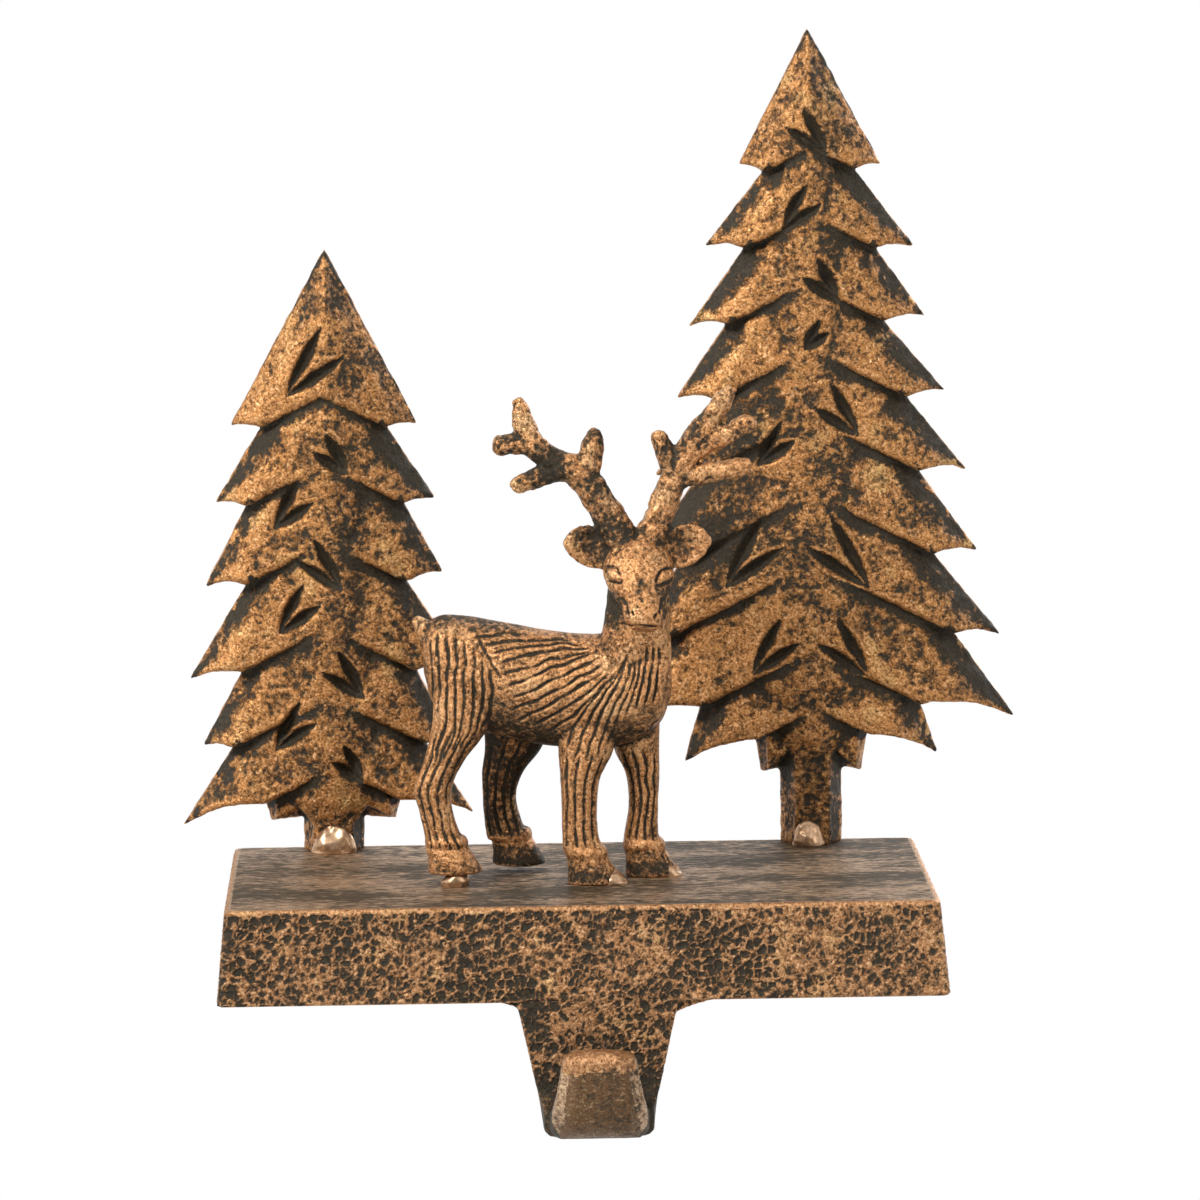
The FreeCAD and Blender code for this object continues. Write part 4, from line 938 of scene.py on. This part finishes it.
def box_profile():
    """Inset and height of each ring, and how strongly it is hammered."""
    draft = DRAFT / (BASE_TOP - RIM)
    inner = np.linspace(CEILING, RIM + 0.3, 6)
    outer = np.linspace(RIM + 0.3, BASE_TOP - EDGE_ROUND, 54)
    turn = np.linspace(0.2, np.pi / 2, 5)
    tops = BASE_TOP - EDGE_ROUND * (1 - np.sin(turn))
    inset = [np.full(3, WALL) + np.array([45, 12, 0.6]), WALL + draft * (inner - RIM),
             [WALL - 0.3, 2.0, 0.3], draft * (outer - RIM),
             draft * (tops - RIM) + EDGE_ROUND * (1 - np.cos(turn)),
             DRAFT + EDGE_ROUND + np.array([0.5, 1.2, 3, 7, 14, 24, 33])]
    height = [np.full(3, CEILING), inner, [RIM, RIM, RIM], outer, tops, np.full(7, BASE_TOP)]
    hammer = [np.zeros(3), np.zeros(6), np.zeros(3), np.ones(54), np.linspace(0.8, 0, 5),
              np.zeros(7)]
    return [np.concatenate(part) for part in (inset, height, hammer)]


# %% The hammered skin
def hammered(points, seed):
    """Depth of the skin, 0 on ridges and 1 in the pits. A ridge runs wherever one of two noise
    fields crosses zero, which draws a net of worms; cell noise adds round pits."""
    bent = points + 0.5 * np.stack([swells(points, 2.4, seed + n) for n in range(3)], 1)
    nearest, second = pits(bent, 2.1, seed)
    bowl = clamp((second - nearest) / 0.30)
    worm = np.abs(swells(bent, 1.5, seed + 4) + 0.5 * swells(bent, 0.8, seed + 5)) / 0.24
    calm = np.clip(0.78 + 0.7 * swells(points, 12.0, seed + 20) - points[:, 0] / 400, 0.45, 1.0)
    return np.minimum(bowl, clamp(worm)) * calm


# %% Building the base
def give_finishes(mesh, numbers):
    """Each face takes the finish whose number its first corner has."""
    corners = read(mesh.loops, "vertex_index", np.int32, 1)[:, 0]
    starts = read(mesh.polygons, "loop_start", np.int32, 1)[:, 0]
    mesh.polygons.foreach_set("material_index", numbers[corners[starts]].astype(np.int32))


def by_ring(values, last=False):
    """The value of each ring for all its points, then those of the first and the last pole."""
    return np.append(np.repeat(values, COLUMNS), [False, last])


def make_base():
    inset, height, hammer = box_profile()
    half = np.array([BASE_WIDTH / 2, BASE_DEPTH / 2])
    grid = box_outline(COLUMNS)[None] * (1 - inset[:, None, None] / half)
    grid = np.dstack([grid, np.broadcast_to(height[:, None], grid.shape[:2])])
    mesh = mesh_of("base", *closed_tube(grid))
    points, normals = skin_of(mesh)
    share = by_ring(hammer)
    deep = hammered(points, 40) * share
    sway = 0.35 * swells(points * [1, 0, 0], 30.0, 77) * clamp(1 - (points[:, 2] - RIM) / 6)
    points += normals * (0.15 * share - 0.5 * deep)[:, None]
    points[:, 2] += sway * share
    move_points(mesh, points)
    on_top = by_ring(height >= BASE_TOP - 0.01, True)
    lip = by_ring((height > BASE_TOP - EDGE_ROUND * 1.2) & (inset < DRAFT + EDGE_ROUND + 0.3))
    keep_rub(mesh, 0.36 - 1.1 * deep + 0.7 * lip - 0.36 * (on_top & ~lip))
    made = piece("base", mesh, base_finish, top_finish)
    give_finishes(mesh, on_top)
    return made


base = make_base()

# %% [markdown]
# ## The hook
# A flat strip leaves the front wall, drops past the mantel's edge and turns up into a tapered
# tongue with bevelled sides. It is a six-cornered section carried along a J-shaped path.

# %% The hook's path and section
HOOK_X, BEND_Y, BEND_Z = 2.8, -42.0, -16.0
PLATE_Y, TONGUE_Y = -35.5, -49.25
PLATE_TOP, TONGUE_TOP = 9.0, -8.2


def tongue_half(z):
    """Half the tongue's width, which narrows evenly to its top."""
    return np.interp(z, [-26, -6], [10.9, 7.3])


def hook_path():
    """Middle, outward direction, half thickness and bevel at each station: down the plate,
    half a turn about the bend's middle, and up the tongue."""
    plate = np.linspace(PLATE_TOP, BEND_Z, 50)
    turn = np.linspace(0, np.pi, 60)[1:]
    tongue = np.linspace(BEND_Z, TONGUE_TOP, 20)[1:]
    lean = 0.15 * np.clip(plate - RIM, 0, None)
    radius = np.interp(turn, [0, np.pi / 2, np.pi], [PLATE_Y - BEND_Y, 7.0, BEND_Y - TONGUE_Y])
    y = np.concatenate([PLATE_Y + lean, BEND_Y + radius * np.cos(turn), np.full(19, TONGUE_Y)])
    z = np.concatenate([plate, BEND_Z - radius * np.sin(turn), tongue])
    out = np.concatenate([np.zeros(50), turn, np.full(19, np.pi)])
    outward = np.stack([np.zeros_like(out), np.cos(out), -np.sin(out)], 1)
    thick = np.interp(out, [0, np.pi / 2, np.pi], [2.5, 3.0, 3.25])
    plate_half = np.interp(z, [-26, RIM, PLATE_TOP], [10.9, 17.0, 17.4])
    half = np.where(out < np.pi / 2, plate_half, tongue_half(z))
    bevel = np.interp(out, [1.2, 2.4], [0.5, 3.4])
    return np.stack([np.full_like(y, HOOK_X), y, z], 1), outward, thick, half, bevel


# %% The hook's shapes
def along_sides(corners, steps):
    """Even steps along each side of a section, whose corners lie along the last axis."""
    count = corners.shape[-1]
    at = np.arange(0, count, 1 / steps)
    i = at.astype(int)
    f = at - i
    return corners[..., i] * (1 - f) + corners[..., (i + 1) % count] * f


def hook_tube():
    middle, outward, thick, half, bevel = hook_path()
    corner_x = np.stack([-half, half, half, half - bevel, bevel - half, -half], 1)
    corner_n = np.stack([-thick, -thick, thick - bevel, thick, thick, thick - bevel], 1)
    x, n = along_sides(corner_x, 12), along_sides(corner_n, 12)
    grid = middle[:, None] + x[..., None] * np.array([1.0, 0, 0]) + n[..., None] * outward[:, None]
    tip = grid[-1].mean(0)
    rise = np.linspace(0.15, 1.0, 8)[:, None, None]
    dome = tip + (grid[-1] - tip) * np.sqrt(1 - rise**2 * 0.93) + np.array([0, 0, 2.4]) * rise
    return closed_tube(np.concatenate([grid, dome])[:, ::-1])


def flare(side, reach, drop):
    """Web under the rim: a strip whose lower edge climbs along a parabola."""
    u = np.linspace(0, 1, 40)[:, None]
    x = HOOK_X + side * (11.0 + (reach - 11.0) * u)
    low = RIM + 0.6 - drop * (1 - u) ** 2
    y, up = along_sides(np.array([(-36.6, -33.8, -33.8, -36.6), (1, 1, 0, 0)]), 8)
    z = low + (RIM + 2.0 - low) * up
    return closed_tube(np.stack([x + 0 * z, y + 0 * z, z], -1)[:, ::-side])


# %% Building the hook
def make_hook():
    mesh = one_skin("hook", [hook_tube(), flare(1, 33.0, 6.0), flare(-1, 27.0, 5.0)], 0.42, 2)
    points, normals = skin_of(mesh)
    x, y, z = points.T
    plate_front = (normals[:, 1] < -0.3) & (y > -41)
    fade = np.clip((z + 20) / 9, 0.1, 1)
    deep = hammered(points, 40) * np.where(plate_front, fade, 0.25)
    points -= normals * (0.4 * deep)[:, None]
    move_points(mesh, points)
    tongue = clamp((-43.5 - y) / 3)
    face = tongue * clamp(-normals[:, 1] * 3 - 1.6)
    crown = tongue * clamp((z + 9.5) / 2)
    out = np.abs(x - HOOK_X)
    root = np.clip(out - 10.5, 0, 3) / 3 * clamp((z + 9) / 6) * (x < HOOK_X)
    throat = clamp((-11 - z) / 4) * (y > -46) * (y < -36)
    rub = 0.36 - 1.0 * deep - 0.1 * face + 0.7 * crown - 0.3 * root - 0.6 * throat
    keep_rub(mesh, rub + relief(mesh, 10) * 0.6)
    made = piece("hook", mesh, base_finish, top_finish, tongue_finish)
    on_tongue = (y < -45.5) & (z < -10.2 + 0.9 * swells(points, 2.2, 51))
    flat = (normals[:, 1] < -0.3) & (out < tongue_half(z) - 1.8 + 0.8 * swells(points, 1.6, 52))
    sides = (np.abs(normals[:, 0]) > 0.75) & (z < -4)
    give_finishes(mesh, np.where(on_tongue & flat, 2, np.where(on_tongue | sides, 1, 0)))
    return made


hook = make_hook()
for made in (base, hook):
    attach(made, "root")
    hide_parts("base_casting")


# %% Lands for the pads, under the base's top
LAND_X, LAND_Y, LAND_RADIUS = 67.25, 22.0, 7.5


def make_lands():
    shapes = []
    for x in (-LAND_X, LAND_X):
        for y in (-LAND_Y, LAND_Y):
            rows = [(x, y, z, LAND_RADIUS, LAND_RADIUS)
                    for z in (RIM, RIM + 0.1, CEILING, CEILING + 0.5)]
            shapes.append(level_tube(rows, 12))
    mesh = mesh_of("pad_lands", *join(shapes))
    keep_rub(mesh, np.zeros(len(mesh.vertices)))
    made = piece("pad_lands", mesh, base_finish)
    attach(made, "root")
    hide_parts("base_casting")


make_lands()

# %% [markdown]
# ## The welds
# Each casting is held by a blob of weld metal. It was rubbed bright, so it is the palest metal
# on the piece. A bead is a dome whose rings are pushed in and out by swells.

# %% Weld metal
def bright_metal():
    material, tree = new_material("weld_metal")
    place = add_node(tree, "ShaderNodeTexCoord").outputs["Object"]
    grain = noise(tree, place, 0.9, 4.0)
    shader = add_node(tree, "ShaderNodeBsdfPrincipled", {
        "Base Color": blend(tree, grain, "#6A452C", "#F0C8A0"), "Metallic": 0.85,
        "Roughness": spread(tree, grain, 0, 1, 0.45, 0.18)})
    add_node(tree, "ShaderNodeOutputMaterial", {"Surface": shader.outputs[0]})
    return material


weld_finish = bright_metal()
# Each bead's x and y, its two half sizes and its height
BEADS = {
    "weld_tall_tree": (51.3, 28.3, 3.6, 2.6, 5.4), "weld_short_tree": (-52.9, 28.3, 5.0, 2.8, 6.0),
    "weld_near_hind_hoof": (-26.7, -11.3, 3.0, 2.8, 3.4),
    "weld_near_fore_hoof": (7.0, -11.6, 3.4, 2.8, 3.0),
    "weld_far_fore_hoof": (19.6, -3.6, 2.6, 2.4, 2.4)}
for name, (x, y, a, b, tall) in BEADS.items():
    turn = np.linspace(0, POLE_STOP, 14)
    rows = [(x, y, BASE_TOP + tall * np.sin(t), a * np.cos(t), b * np.cos(t)) for t in turn]
    mesh = mesh_of(name, *level_tube(rows, 30))
    points, normals = skin_of(mesh)
    lift = clamp(points[:, 2] - BASE_TOP)
    lumps = 0.5 * swells(points, 2.4, 60) + 0.25 * swells(points, 1.1, 61)
    points += normals * (lumps * lift)[:, None]
    move_points(mesh, points)
    made = piece(name + "_bead", mesh, weld_finish)
    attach(made, "root")
    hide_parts(name)

# %% [markdown]
# ## The light
# The photograph has even studio light with a soft key from the upper left, and a pure white
# background. Metal shows what is around it, so to the metal the world is a room that is pale
# above and to the left and dim behind the camera. The camera sees it pure white, and what a
# mirror or glass shows of it is white too, all but the unlit side behind the camera.

# %% The world
def seen_rays(tree):
    """Which rays show the white background: those of the camera, and those that come by way of
    a mirror or through glass."""
    path = add_node(tree, "ShaderNodeLightPath")
    mirror = arithmetic(tree, "MAXIMUM", path.outputs["Is Glossy Ray"],
                        path.outputs["Is Transmission Ray"])
    return path.outputs["Is Camera Ray"], mirror


world = bpy.data.worlds.new("studio")
world.use_nodes = True
bpy.context.scene.world = world
tree = world.node_tree
tree.nodes.clear()
camera, mirror = seen_rays(tree)
place = add_node(tree, "ShaderNodeTexCoord").outputs["Generated"]
split = add_node(tree, "ShaderNodeSeparateXYZ", {0: place})
room = spread(tree, split.outputs[2], -0.6, 0.8, 0.3, 1.0)
front = spread(tree, split.outputs[1], -1.0, -0.5, 0.3, 1.0)
left = spread(tree, split.outputs[0], -0.8, 0.8, 1.2, 0.6)
for share in (front, left):
    room = arithmetic(tree, "MULTIPLY", room, share)
backdrop = add_node(tree, "ShaderNodeMix", {0: mirror, 2: room, 3: front}).outputs[0]
strength = add_node(tree, "ShaderNodeMix", {0: camera, 2: backdrop, 3: 1.0}).outputs[0]
sky = add_node(tree, "ShaderNodeBackground", {"Color": (1, 1, 1, 1), "Strength": strength})
add_node(tree, "ShaderNodeOutputWorld", {"Surface": sky.outputs[0]})


# %% The lamps
def lamp(name, place, target, size, power):
    """A square soft box that faces a point."""
    light = bpy.data.lights.new(name, "AREA")
    light.size = size
    light.energy = power
    made = bpy.data.objects.new(name, light)
    away = unit(np.array(place, float) - np.array(target, float))
    side = unit(np.cross([0, 0, 1.0], away))
    stand(made, place, [side, np.cross(away, side), away])


lamp("key", (-0.75, -0.7, 0.95), (0, 0, 0.09), 0.45, 18.0)
lamp("fill", (0.9, -0.8, 0.3), (0, 0, 0.09), 0.7, 2.0)
lamp("back", (0.7, 0.9, 0.45), (0, 0, 0.03), 0.6, 5.0)

# %% The floor
FLOOR_HALF, FLOOR_HEIGHT = 9, -0.7
floor_mesh = bpy.data.meshes.new("floor")
corners = [(x * FLOOR_HALF, y * FLOOR_HALF, FLOOR_HEIGHT)
           for x, y in ((-1, -1), (1, -1), (1, 1), (-1, 1))]
floor_mesh.from_pydata(corners, [], [(0, 1, 2, 3)])
floor_finish, tree = new_material("pale_floor")
camera, mirror = seen_rays(tree)
shown = arithmetic(tree, "MAXIMUM", camera, mirror)
matt = add_node(tree, "ShaderNodeBsdfDiffuse", {"Color": linear("#F2F2F2")})
glow = add_node(tree, "ShaderNodeEmission", {"Color": (1, 1, 1, 1), "Strength": 1.0})
mixed = add_node(tree, "ShaderNodeMixShader", {0: shown, 1: matt.outputs[0], 2: glow.outputs[0]})
add_node(tree, "ShaderNodeOutputMaterial", {"Surface": mixed.outputs[0]})
floor_mesh.materials.append(floor_finish)
floor = bpy.data.objects.new("floor", floor_mesh)
bpy.context.scene.collection.objects.link(floor)
bpy.context.scene.view_settings.view_transform = "Standard"
